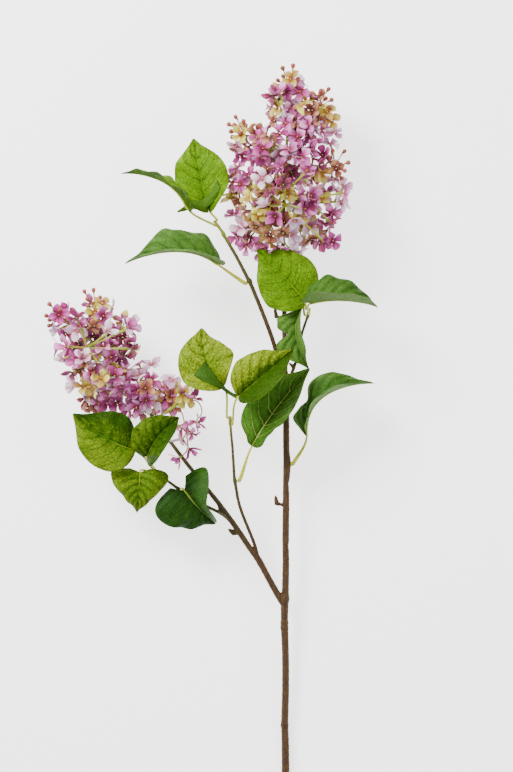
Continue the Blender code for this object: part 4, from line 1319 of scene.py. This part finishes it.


# Looks of the florets that show most, by their place on the sheet; the rest are drawn by chance.
# The maroon ones are painted shade, set where the heads lie deep in shade.
FLORET_SPOTS = (
    ("cream", 282, 85), ("cream", 302, 103), ("cream", 239, 142), ("cream", 249, 124),
    ("cream", 279, 193), ("cream", 256, 196), ("cream", 258, 219), ("cream", 325, 170),
    ("cream", 240, 190), ("rusty", 248, 206), ("rusty", 234, 198), ("cream", 268, 230), ("rusty", 273, 206),
    ("rusty", 280, 222), ("pale", 240, 232), ("pale", 270, 240), ("pale", 300, 238), ("pale", 245, 168),
    ("mauve", 300, 172), ("maroon", 287, 168), ("lilac", 300, 148), ("rusty", 256, 134),
    ("pale", 283, 155), ("pale", 247, 175), ("pale", 325, 132), ("pale", 253, 232),
    ("pale", 327, 180), ("pale", 343, 197), ("mauve", 268, 155), ("mauve", 290, 143),
    ("lilac", 310, 120), ("lilac", 307, 165), ("lilac", 305, 195), ("lilac", 278, 226),
    ("cream", 100, 380), ("cream", 85, 385), ("cream", 185, 394), ("rusty", 88, 365),
    ("maroon", 92, 327), ("maroon", 98, 335), ("maroon", 128, 343), ("maroon", 128, 353),
    ("lilac", 189, 435), ("pale", 180, 448), ("mauve", 195, 420),
)
SPOT_REACH = 11.0 * MM

# Where bare stalks show between the florets: across, down and how far round it, in millimetres.
BARE_SPOTS = ((286, 204, 13), (88, 346, 15), (279, 108, 9), (322, 214, 9), (310, 192, 8), (184, 402, 8))

# Where the surface shows between the sprays.
OPEN_SPOTS = ((332, 209, 9), (230, 222, 9), (268, 108, 10), (152, 366, 13), (67, 381, 9), (56, 356, 6),
              (128, 319, 6))

# Where the florets are small and slim, as on the drooping spray.
SMALL_SPOTS = ((188, 436, 26),)

# More florets that fill the heads out: look, across, down and height in millimetres. The maroon
# ones among them also paint the deep shade inside the heads.
FILL_SPOTS = {
    "flower_head_top": (
        ("pale", 236, 147, 60), ("lilac", 241, 157, 66), ("mauve", 237, 167, 60), ("pale", 233, 176, 62),
        ("lilac", 240, 185, 70), ("cream", 233, 194, 62), ("rusty", 240, 203, 66), ("lilac", 234, 214, 58),
        ("pale", 240, 226, 64), ("mauve", 236, 237, 54), ("lilac", 246, 247, 56), ("lilac", 262, 252, 60),
        ("mauve", 277, 254, 50), ("pale", 292, 251, 60), ("lilac", 273, 95, 62), ("pale", 334, 134, 66),
        ("rusty", 319, 121, 74), ("lilac", 327, 122, 60), ("cream", 247, 199, 86), ("cream", 263, 208, 90),
        ("rusty", 270, 236, 84), ("maroon", 285, 182, 98), ("mauve", 281, 169, 99), ("pale", 344, 186, 62),
        ("pale", 342, 202, 60), ("lilac", 331, 215, 60), ("mauve", 333, 241, 58), ("lilac", 297, 138, 88),
        ("mauve", 279, 134, 84), ("cream", 252, 222, 84), ("rusty", 264, 195, 92), ("lilac", 322, 131, 72),
        ("pale", 330, 143, 66), ("mauve", 316, 142, 80), ("cream", 327, 112, 70), ("lilac", 311, 150, 88),
        ("mauve", 322, 155, 74), ("cream", 301, 106, 78), ("lilac", 297, 120, 78), ("pale", 290, 112, 74),
        ("rusty", 312, 111, 76), ("lilac", 285, 124, 80), ("mauve", 258, 139, 80), ("lilac", 305, 126, 84),
        ("lilac", 262, 160, 94), ("lilac", 288, 150, 98), ("maroon", 275, 181, 96), ("cream", 287, 194, 100),
        ("lilac", 300, 92, 66), ("mauve", 284, 93, 70), ("maroon", 318, 168, 86), ("mauve", 309, 204, 92),
        ("pale", 303, 249, 56), ("mauve", 321, 243, 52), ("cream", 331, 121, 62), ("rusty", 318, 95, 60),
        ("maroon", 302, 148, 60), ("pale", 338, 191, 54), ("lilac", 246, 141, 56), ("rusty", 234, 151, 54),
        ("cream", 231, 200, 54), ("cream", 269, 242, 56), ("cream", 306, 102, 60), ("pale", 334, 180, 52),
        ("rusty", 256, 228, 88), ("maroon", 270, 190, 62), ("maroon", 290, 170, 62), ("rusty", 243, 234, 62),
    ),
    "flower_head_left": (
        ("rusty", 86, 399, 52), ("pale", 92, 396, 60), ("lilac", 99, 404, 56), ("mauve", 108, 403, 56),
        ("lilac", 117, 404, 58), ("mauve", 127, 410, 54), ("lilac", 132, 400, 66), ("pale", 142, 404, 60),
        ("rusty", 150, 396, 64), ("lilac", 158, 404, 58), ("mauve", 166, 398, 60), ("rusty", 172, 396, 62),
        ("cream", 183, 394, 76), ("rusty", 174, 408, 56), ("cream", 102, 378, 98), ("cream", 84, 386, 82),
        ("cream", 93, 389, 84), ("rusty", 86, 361, 94), ("rusty", 92, 369, 97), ("rusty", 80, 371, 86),
        ("mauve", 108, 392, 72), ("pale", 116, 383, 80), ("mauve", 124, 392, 74), ("lilac", 138, 391, 72),
        ("pale", 132, 325, 60), ("mauve", 129, 343, 66), ("lilac", 104, 316, 70), ("rusty", 95, 326, 80),
        ("maroon", 125, 355, 62), ("rusty", 90, 408, 46), ("pale", 113, 309, 60), ("mauve", 66, 335, 52),
        ("cream", 134, 350, 56), ("cream", 103, 303, 62), ("pale", 172, 379, 58), ("rusty", 98, 405, 50),
        ("cream", 186, 400, 66), ("maroon", 100, 352, 60), ("lilac", 118, 362, 66), ("rusty", 146, 388, 78),
    ),
}

# Where the buds of each head sit, across and down.
BUD_SPOTS = {
    "flower_head_top": (
        (282.7, 68.7), (293.0, 66.0), (298.2, 79.6), (283.3, 77.0), (289.0, 75.5), (278.0, 80.5),
        (328.2, 90.0), (321.0, 91.3), (331.3, 100.4), (325.5, 99.0), (320.0, 104.5), (328.5, 107.6),
        (326.4, 111.5), (314.0, 97.5), (315.5, 104.0), (235.8, 117.8), (229.0, 125.0), (234.6, 125.5),
        (243.6, 122.0), (231.3, 131.8), (237.4, 131.0), (232.7, 137.3), (240.0, 133.7), (332.4, 151.8),
        (344.2, 151.8), (327.8, 158.8), (337.3, 163.6), (347.8, 163.3), (344.2, 171.3), (341.5, 178.5),
        (228.2, 181.5), (231.0, 186.5), (262.0, 215.0), (268.0, 219.0),
    ),
    "flower_head_left": (
        (84.7, 291.7), (93.5, 290.2), (87.6, 299.4), (99.9, 297.9), (102.6, 301.6), (88.6, 306.2),
        (104.2, 304.5), (49.7, 304.3), (54.6, 310.5), (60.6, 310.0), (46.4, 315.8), (49.3, 325.5),
        (50.0, 319.9), (57.5, 314.8), (174.0, 407.4), (192.6, 394.7), (168.0, 386.0),
    ),
}

# How far from its spray's end a bud may sit, and how many millimetres it may stand above it.
BUD_FAN = 26.0 * MM
BUD_RISE = (1.0, 12.0)

# Florets lower than this may stay under the bare places.
BARE_HEIGHT = 60.0 * MM

# Thin bare wires of the drooping spray, each ending in a floret: its look and the places along it.
WIRES = {
    "flower_head_top": (),
    "flower_head_left": (
        ("lilac", ((186.0, 399.0, 60.0), (198.0, 402.0, 63.0), (202.0, 412.0, 62.0), (197.0, 420.0, 60.0))),
        ("mauve", ((168.0, 410.0, 54.0), (178.0, 428.0, 56.0), (183.0, 440.0, 55.0), (188.0, 447.0, 53.0))),
        ("lilac", ((176.0, 408.0, 56.0), (182.0, 413.0, 58.0), (184.0, 421.0, 58.0))),
        ("pale", ((184.0, 422.0, 57.0), (187.0, 430.0, 58.0), (184.0, 437.0, 56.0))),
        ("mauve", ((188.0, 446.0, 53.0), (186.0, 452.0, 53.0), (181.0, 457.0, 51.0))),
    ),
}

# The stalks that show at the bare places. Each group starts at its first place and ends at the
# others, and the number after them is how red it is.
SHOWING_STALKS = {
    "flower_head_top": (
        ((285.5, 206.0, 92.0), ((274.0, 199.0, 102.0), (297.0, 199.0, 103.0), (292.0, 219.0, 101.0),
                                (277.0, 215.0, 103.0), (284.0, 190.0, 104.0), (301.0, 209.0, 98.0),
                                (270.0, 207.0, 99.0)), 0.45),
        ((292.0, 187.0, 92.0), ((306.0, 198.0, 100.0), (304.0, 175.0, 101.0)), 0.0),
        ((309.0, 199.0, 84.0), ((328.0, 222.0, 82.0), (341.0, 194.0, 80.0)), 0.0),
        ((300.0, 220.0, 76.0), ((322.0, 240.0, 74.0),), 0.0),
        ((285.0, 116.0, 72.0), ((275.0, 99.0, 78.0), (281.0, 97.0, 80.0)), 0.0),
        ((270.0, 222.0, 76.0), ((262.0, 240.0, 70.0), (277.0, 243.0, 70.0)), 0.1),
    ),
    "flower_head_left": (
        ((88.0, 348.0, 84.0), ((79.0, 322.0, 96.0), (83.0, 329.0, 98.0), (108.0, 334.0, 98.0),
                               (126.0, 330.0, 88.0), (129.0, 349.0, 88.0), (71.0, 347.0, 92.0),
                               (98.0, 362.0, 92.0)), 0.0),
        ((172.0, 408.0, 66.0), ((190.0, 399.0, 70.0), (183.0, 395.0, 74.0)), 0.0),
        ((84.0, 366.0, 80.0), ((76.0, 372.0, 88.0), (92.0, 371.0, 92.0), (86.0, 358.0, 93.0),
                               (79.0, 361.0, 90.0)), 0.8),
    ),
}

# The looks, how often each is drawn, and how large its florets are.
FLORET_LOOKS = ("lilac", "mauve", "pale", "cream", "rusty", "maroon")
LOOK_CHANCES = (0.26, 0.15, 0.20, 0.16, 0.15, 0.08)
LOOK_SIZES = {"lilac": 1.0, "mauve": 1.0, "pale": 1.0, "cream": 0.90, "rusty": 0.86, "maroon": 0.90}
WARM_LOOKS = ("cream", "rusty")

# The looks of the florets on the bare stalks, their cups, and the radii where those stalks meet.
SIDE_LOOKS = ("maroon", "lilac", "pale", "mauve")
SIDE_CUP = 4.5 * MM
WIRE_CUP = 5.0 * MM
HUB_RADII = (1.4 * MM, 1.2 * MM, 1.5 * MM)

# What is added to a head's seed for the draws of more florets, and for those of looks and forms.
FILL_SEED = 500
LOOK_SEED = 900

# How often a floret near a known spot takes its look.
SPOT_CHANCE = 0.85


def look_of(centre, draw):
    """The look of a floret: that of the nearest known spot, or one drawn by chance."""
    gaps = [(level_gap(centre, on_sheet(place)), look) for look, *place in FLORET_SPOTS]
    gap, look = min(gaps, key=lambda found: found[0])
    chance = draw.random()
    if gap < SPOT_REACH and chance < SPOT_CHANCE:
        return look
    return draw.choices(FLORET_LOOKS, LOOK_CHANCES)[0]


def within(spots, centre):
    """Whether a place lies over one of the (across, down, radius) spots."""
    return any(level_gap(centre, on_sheet(spot[:2])) < spot[2] * MM for spot in spots)


def nearest_stalk(plan, place):
    """The place on the spray stalks that lies nearest."""
    samples = (axis_point(stalk, share) for stalk, _ in plan["stalks"] for share in even_shares(12))
    return min(samples, key=lambda sample: (sample - place).length)


def bud_places(plan, head, draw):
    """Each bud's root, middle and the way it faces: it grows from the nearest spray with buds."""
    bearing = [stalk for stalk, buds in plan["stalks"] if buds]
    buds = []
    for place in BUD_SPOTS[head["name"]]:
        spot = on_sheet(place)
        stalk = min(bearing, key=lambda line: level_gap(line[2], spot))
        centre = Vector((spot.x, spot.y, stalk[2].z + draw.uniform(*BUD_RISE) * MM))
        ahead = (stalk[2] - stalk[1]).normalized()
        root = stalk[2] - ahead * MM
        if level_gap(stalk[2], spot) > BUD_FAN:
            root = nearest_stalk(plan, centre)
        buds.append((root, centre, ((centre - root).normalized() + ahead * 0.3).normalized()))
    return buds


def fill_gaps(plan, head, extra_florets):
    """More florets on each spray, in the gaps that the plan leaves, and the buds in their fans."""
    draw = random.Random(head["seed"] + FILL_SEED)
    taken = [floret[1] for floret in plan["florets"]]
    for stalk, buds in plan["stalks"]:
        ahead = (stalk[2] - stalk[1]).normalized()
        count = extra_florets // 2 if buds > 2 else extra_florets
        furthest = 0.30 if buds > 2 else 0.55
        for i in range(count):
            along = 0.40 + furthest * (i + 0.5) / count
            leans = (66.0 - 30.0 * along, 92.0 - 36.0 * along)
            floret = drawn_floret(draw, *roomiest(draw, stalk, ahead, along, leans, taken))
            centre = floret[1]
            bare = centre.z > BARE_HEIGHT and within(BARE_SPOTS, centre)
            if not (bare or within(SMALL_SPOTS, centre) or within(OPEN_SPOTS, centre)):
                plan["florets"].append(floret)
    for look, *place in FILL_SPOTS[head["name"]]:
        centre = on_sheet(place)
        root = nearest_stalk(plan, centre)
        facing = (centre - root).normalized() + Vector((0.0, 0.0, draw.uniform(0.2, 0.9)))
        facing = lean_from(facing.normalized(), draw.uniform(0.0, 2.0 * math.pi), draw.uniform(0.0, 0.5))
        roll, cup = draw.uniform(*ROLL_RANGE), draw.uniform(*CUP_RANGE)
        plan["florets"].append((root, centre, facing, roll, cup, look))
    plan["buds"] = bud_places(plan, head, draw)


# A petal: its rows from throat to tip, its columns, where it is widest, how deep it dips into the
# throat, its middle crease and the ripple of its edge.
PETAL_ROWS = tuple(i / 7.0 for i in range(7)) + (0.955, 0.995)
PETAL_COLUMNS = (-1.0, -0.66, -0.33, 0.0, 0.33, 0.66, 1.0)
PETAL_WIDEST = 0.56
THROAT_DIP = 1.6 * MM
PETAL_CREASE = 0.35 * MM
PETAL_RIPPLE = 0.75 * MM

# How far every other petal lies above its neighbours, how deep the tube's mouth lies, and the
# pistil's heights and radii.
PETAL_OVERLAP = 0.25 * MM
MOUTH_DEPTH = 0.9 * MM
PISTIL = ((-1.6 * MM, 0.5 * MM), (-0.5 * MM, 0.75 * MM), (0.5 * MM, 0.3 * MM))


def petal_width(t):
    """Half width of a petal at a share t of its length, as a share of the largest."""
    if t < PETAL_WIDEST:
        return 0.36 + 0.64 * smooth_step(t / PETAL_WIDEST)
    return max(0.0, 1.0 - ((t - PETAL_WIDEST) / (1.0 - PETAL_WIDEST)) ** 1.7) ** 0.85


def add_petal(sheet, centre, facing, angle, size, form, look, tone, settings):
    """One petal as a closed thin sheet: a boat-shaped oval, dipping into the throat.

    Its form is its cup, trough, droop, sideways sweep and share of the full width.
    """
    cup, trough, droop, sweep, share = form
    side = across_to(facing)
    out = side * math.cos(angle) + facing.cross(side) * math.sin(angle)
    over = facing.cross(out)
    reach = FLORET_RADIUS * size
    upper, paint = [], []
    for t in PETAL_ROWS:
        far = settings.throat * 0.6 + (reach - settings.throat * 0.6) * t
        rise = cup * max(0.0, (far / reach - 0.3) / 0.7) ** 1.4 - THROAT_DIP * (1.0 - t) ** 3
        half = settings.petal_half * size * share * petal_width(t)
        for u in PETAL_COLUMNS:
            height = rise + trough * u * u * petal_width(t) - droop * t ** 5
            height -= PETAL_CREASE * math.exp(-(u / 0.25) ** 2) * (1.0 - t)
            height += PETAL_RIPPLE * math.sin(9.0 * t + 3.0 * u + 20.0 * tone) * abs(u) * t
            place = centre + out * far + over * (u * half + sweep * t * t) + facing * height
            place.z = max(place.z, PETAL_THICKNESS)
            upper.append(place)
            paint.append((t, u, tone))
    under = [place - facing * settings.petal_sheet for place in upper]
    slot = FLORET_LOOKS.index(look)
    sheet.grid(upper, under, len(PETAL_COLUMNS), paint + paint, slot, turned_over=True)


def plain_paint(along, around):
    """Paint for a tube: its length, its turn and a middling tone."""
    return along, around, 0.5


def add_floret(sheet, floret, look, draw, settings):
    """A floret: four petals, its flared tube and the pistil tip in its throat."""
    root, centre, facing, roll, cup, _ = floret
    facing = lean_from(facing, draw.uniform(0.0, 2.0 * math.pi), draw.uniform(0.0, 0.6))
    size = LOOK_SIZES[look] * draw.uniform(0.92, 1.03)
    slim = 1.0
    if within(SMALL_SPOTS, centre):
        size, slim = size * 0.88, 0.72
    trough = draw.uniform(-1.6, 3.2) * MM
    for k in range(PETALS):
        angle = roll - 0.04 + k * 2.0 * math.pi / PETALS + draw.uniform(-0.14, 0.14)
        lift = (k % 2) * PETAL_OVERLAP
        form = (cup + draw.uniform(-2.4, 3.4) * MM, trough + draw.uniform(-1.0, 1.2) * MM,
                draw.uniform(-1.0, 3.0) * MM, draw.uniform(-1.5, 1.5) * MM,
                slim * draw.uniform(0.84, 1.12))
        add_petal(sheet, centre + facing * lift, facing, angle, size * draw.uniform(0.88, 1.03), form,
                  look, draw.random(), settings)
    length = (centre - root).length
    bend = root.lerp(centre, 0.5) + (facing * 0.25 * length - (centre - root) * 0.18)
    line = arc(root, bend, centre - facing * MOUTH_DEPTH, 6)
    radii = [settings.foot * (1.25 - 0.35 * smooth_step(t * 3.0))
             + (settings.throat * size - settings.foot) * t ** 2.2 for t in even_shares(6)]
    sheet.tube(line, radii, 8, len(FLORET_LOOKS) + FLORET_LOOKS.index(look), plain_paint)
    tip = [centre + facing * height for height, _ in PISTIL]
    sheet.tube(tip, [radius for _, radius in PISTIL], 6, 2 * len(FLORET_LOOKS), plain_paint)


# A closed bud, from its foot to its tip: places along it and radii, as shares. Then its length in
# millimetres.
BUD_PROFILE = ((-0.62, 0.26), (-0.50, 0.46), (-0.42, 0.50), (-0.34, 0.62), (-0.12, 0.90), (0.12, 1.0),
               (0.32, 0.88), (0.46, 0.55), (0.53, 0.18))
BUD_LENGTH = (4.6, 5.4)


def add_bud(sheet, stalks, bud, draw, settings):
    """A closed bud, and its thin stalk in the sheet of stalks."""
    root, centre, facing = bud
    length = draw.uniform(*BUD_LENGTH) * MM
    radius = settings.bud * draw.uniform(0.86, 1.06)
    tone = draw.random()
    lean = across_to(facing) * draw.uniform(-0.4, 0.4) * MM
    line = [centre + facing * share * length + lean * share for share, _ in BUD_PROFILE]
    sheet.tube(line, [radius * size for _, size in BUD_PROFILE], 10, 0,
               lambda along, around: (along, around, tone))
    base = line[1]
    bend = root.lerp(base, 0.5) + across_to(facing) * draw.uniform(-1.0, 1.0) * MM
    radii = [(0.75 - 0.25 * smooth_step(t * 2.0) + 0.3 * smooth_step(t * 5.0 - 4.0)) * MM
             for t in even_shares(5)]
    stalks.tube(arc(root, bend, base, 5), radii, 6, 0,
                lambda along, around: (0.55 + 0.45 * along, 0.0, around))


def add_axis(sheet, axis):
    """The head's axis, thinner towards its tip."""
    line, radii = [], []
    for i in range(len(axis) - 1):
        for t in even_shares(6)[:-1]:
            line.append(axis[i].lerp(axis[i + 1], t))
            radii.append(AXIS_RADII[i] + (AXIS_RADII[i + 1] - AXIS_RADII[i]) * t)
    line.append(axis[-1])
    radii.append(AXIS_RADII[-1])
    sheet.tube(line, radii, 10, 0, lambda along, around: (0.2, 0.85, around))


def stalk_radius(t):
    """A spray stalk's radius at a share of its length, with its knots and flared ends."""
    knots = sum(0.25 * math.exp(-((t - place) / 0.05) ** 2) for place in (0.55, 0.8))
    flare = 0.5 * (1.0 - smooth_step(t / 0.25)) + 0.35 * smooth_step((t - 0.85) / 0.15)
    return (STALK_ROOT_RADIUS * (1 - t) + STALK_TIP_RADIUS * t) * (0.95 + knots + flare)


def add_sprays(sheet, stalks):
    """The spray stalks, dark where they leave the axis and redder where they carry buds."""
    for (root, middle, tip), buds in stalks:
        pull = 2.0 * middle - 0.5 * (root + tip)
        redness = 0.95 if buds else 0.30
        sheet.tube(arc(root, pull, tip, 12), [stalk_radius(t) for t in even_shares(12)], 8, 0,
                   lambda along, around: (redness * along, 0.75 * (1.0 - smooth_step(along * 2.2)), around))


def add_showing_stalks(sheet, florets, head, plan, draw, settings):
    """Bare stalks that spread from one place, each with a small floret seen from the side."""
    for start, ends, redness in SHOWING_STALKS[head["name"]]:
        hub = on_sheet(start)
        low = min((axis_point(plan["axis"], share) for share in even_shares(20)),
                  key=lambda place: (place - hub).length)
        sheet.tube([low, low.lerp(hub, 0.5) + Vector((0.5 * MM, 0.5 * MM, 0.0)), hub], HUB_RADII, 8, 0,
                   lambda along, around: (redness, 0.5 - 0.5 * along, 0.0))
        for i, end in enumerate(ends):
            tip = on_sheet(end)
            ahead = (tip - hub).normalized()
            bend = hub.lerp(tip, 0.5) + Vector((0.0, 0.0, 0.12)) * (tip - hub).length
            radii = [(1.15 - 0.45 * math.sin(math.pi * min(1.0, t * 1.15)) + 0.25 * t) * MM
                     for t in even_shares(8)]
            sheet.tube(arc(hub, bend, tip, 8), radii, 8, 0,
                       lambda along, around: (redness * (1.0 - 0.5 * along), 0.0, 0.0))
            look = SIDE_LOOKS[i % len(SIDE_LOOKS)]
            facing = (ahead + Vector((draw.uniform(-0.4, 0.4), draw.uniform(-0.4, 0.4), 0.1))).normalized()
            floret = (tip - ahead * MM, tip + facing * 5.0 * MM, facing, draw.uniform(*ROLL_RANGE),
                      SIDE_CUP, look)
            add_floret(florets[look], floret, look, draw, settings)


def add_wires(sheet, florets, head, plan, draw, settings):
    """Thin curved wires, each with a small floret at its end."""
    for look, places in WIRES[head["name"]]:
        root = nearest_stalk(plan, on_sheet(places[0]))
        line, _ = curve_through([place + (0.0,) for place in places], 2.0 * MM)
        line = [root, root.lerp(line[0], 0.5)] + line
        radii = [(0.75 - 0.2 * i / len(line)) * MM for i in range(len(line))]
        sheet.tube(line, radii, 6, 0, lambda along, around: (1.0, 0.0, around))
        ahead = (line[-1] - line[-2]).normalized()
        facing = (ahead + Vector((0.0, 0.0, draw.uniform(-0.1, 0.5)))).normalized()
        floret = (line[-1] - ahead * MM, line[-1] + facing * 4.0 * MM, facing, draw.uniform(*ROLL_RANGE),
                  WIRE_CUP, look)
        add_floret(florets[look], floret, look, draw, settings)


def flower_head(head, petals, stalk, bud_skin, settings):
    """One head's florets in cool and in warm looks, its stalks and its buds, as four pieces."""
    plan = head_plan(head)
    fill_gaps(plan, head, settings.extra_florets)
    draw = random.Random(head["seed"] + LOOK_SEED)
    cool, warm, stalks, buds = Sheet(), Sheet(), Sheet(), Sheet()
    florets = {look: warm if look in WARM_LOOKS else cool for look in FLORET_LOOKS}
    add_axis(stalks, plan["axis"])
    add_sprays(stalks, plan["stalks"])
    for floret in plan["florets"]:
        look = floret[5] or look_of(floret[1], draw)
        add_floret(florets[look], floret, look, draw, settings)
    add_showing_stalks(stalks, florets, head, plan, draw, settings)
    add_wires(stalks, florets, head, plan, draw, settings)
    for bud in plan["buds"]:
        add_bud(buds, stalks, bud, draw, settings)
    parts = (("_florets", cool, petals), ("_cream_florets", warm, petals),
             ("_stalks", stalks, [stalk]), ("_buds", buds, [bud_skin]))
    for ending, sheet, finishes in parts:
        piece = sheet.piece(head["name"] + ending, finishes, "petal_place")
        joins_frame(piece, head["name"])


class LILAC_OT_flowers(bpy.types.Operator):
    """Builds both flower heads: stalks, florets and buds"""
    bl_idname = "lilac.flowers"
    bl_label = "Flower Heads"

    def execute(self, context):
        settings = context.scene.lilac_flower
        petals = [floret_finish(look) for look in FLORET_LOOKS]
        petals += [tube_finish(look, settings) for look in FLORET_LOOKS]
        petals.append(pistil_finish())
        stalk, bud_skin = stalk_finish(settings), bud_finish(settings)
        for head in (TOP_HEAD, LEFT_HEAD):
            flower_head(head, petals, stalk, bud_skin, settings)
        return {"FINISHED"}


# The stage.

SENSOR_WIDTH = 36.0
CLIP_END = 60.0
FLOOR_HALF = 4.0
LAMP_TARGET = (0.0, 0.0, 0.05)


def aimed(thing, target):
    """Turns a light or camera to face a point."""
    thing.rotation_euler = (Vector(target) - thing.location).to_track_quat("-Z", "Y").to_euler()


def overhead_camera(settings):
    """The camera, looking straight down from where the view's span fills the picture."""
    lens = bpy.data.cameras.new("overhead_camera")
    lens.sensor_width = SENSOR_WIDTH
    lens.lens = settings.lens
    lens.clip_end = CLIP_END
    made = bpy.data.objects.new("overhead_camera", lens)
    height = settings.view_plane + settings.view_span * settings.lens / SENSOR_WIDTH
    made.location = (settings.view_across, settings.view_along, height)
    return made


def pale_floor(settings):
    """The floor, just under the stem."""
    mesh = bpy.data.meshes.new("floor")
    low = CAD_BOX[0][2] - FLOOR_DROP
    corners = [(x * FLOOR_HALF, y * FLOOR_HALF, low) for x, y in ((-1, -1), (1, -1), (1, 1), (-1, 1))]
    mesh.from_pydata(corners, [], [(0, 1, 2, 3)])
    mesh.materials.append(floor_finish(settings))
    return bpy.data.objects.new("floor", mesh)


def softbox(name, place, size, power):
    """A round soft light that faces the stem."""
    lamp = bpy.data.lights.new(name, "AREA")
    lamp.shape = "DISK"
    lamp.size = size
    lamp.energy = power
    made = bpy.data.objects.new(name, lamp)
    made.location = place
    aimed(made, LAMP_TARGET)
    return made


def even_light(settings):
    """White light from all round."""
    made = bpy.data.worlds.new("even_light")
    made.use_nodes = True
    sky = made.node_tree.nodes["Background"]
    sky.inputs[0].default_value = WHITE
    sky.inputs[1].default_value = settings.sky
    return made


class LILAC_OT_stage(bpy.types.Operator):
    """Sets up the camera above the stem, the pale floor and the soft studio light"""
    bl_idname = "lilac.stage"
    bl_label = "Stage"

    def execute(self, context):
        settings = context.scene.lilac_stage
        camera, floor = overhead_camera(settings), pale_floor(settings)
        key = softbox("key_softbox", (-0.9, 1.1, 1.3), 0.8, settings.key_power)
        fill = softbox("fill_softbox", (1.3, -0.5, 1.2), 1.4, settings.fill_power)
        for made in (camera, floor, key, fill):
            context.scene.collection.objects.link(made)
        context.scene.camera = camera
        context.scene.world = even_light(settings)
        return {"FINISHED"}


class LILAC_PT_panel(bpy.types.Panel):
    """Lists the pieces of the stem and what can be changed about them"""
    bl_label = "Lilac Stem"
    bl_idname = "LILAC_PT_panel"
    bl_space_type = "VIEW_3D"
    bl_region_type = "UI"
    bl_category = "Lilac Stem"

    def draw(self, context):
        for name, group, operator in PANEL_ROWS:
            box = self.layout.box()
            box.label(text=name)
            settings = getattr(context.scene, group)
            for key in settings.__annotations__:
                box.prop(settings, key)
            box.operator(operator)


PANEL_ROWS = (
    ("Wood", "lilac_wood", "lilac.wood"),
    ("Leaves", "lilac_leaf", "lilac.leaves"),
    ("Flowers", "lilac_flower", "lilac.flowers"),
    ("Stage", "lilac_stage", "lilac.stage"),
)
SETTINGS = {
    "lilac_wood": WoodSettings,
    "lilac_leaf": LeafSettings,
    "lilac_flower": FlowerSettings,
    "lilac_stage": StageSettings,
}
CLASSES = tuple(SETTINGS.values()) + (
    LILAC_OT_wood, LILAC_OT_leaves, LILAC_OT_flowers, LILAC_OT_stage, LILAC_PT_panel)


def register():
    """Makes the settings, operators and panel known."""
    for made in CLASSES:
        bpy.utils.register_class(made)
    for name, group in SETTINGS.items():
        setattr(bpy.types.Scene, name, PointerProperty(type=group))


def unregister():
    """Takes them back."""
    for name in SETTINGS:
        delattr(bpy.types.Scene, name)
    for made in reversed(CLASSES):
        bpy.utils.unregister_class(made)


def main():
    """Builds every piece in order."""
    register()
    bpy.ops.lilac.stage()
    bpy.ops.lilac.wood()
    bpy.ops.lilac.leaves()
    bpy.ops.lilac.flowers()


if __name__ == "__main__":
    main()
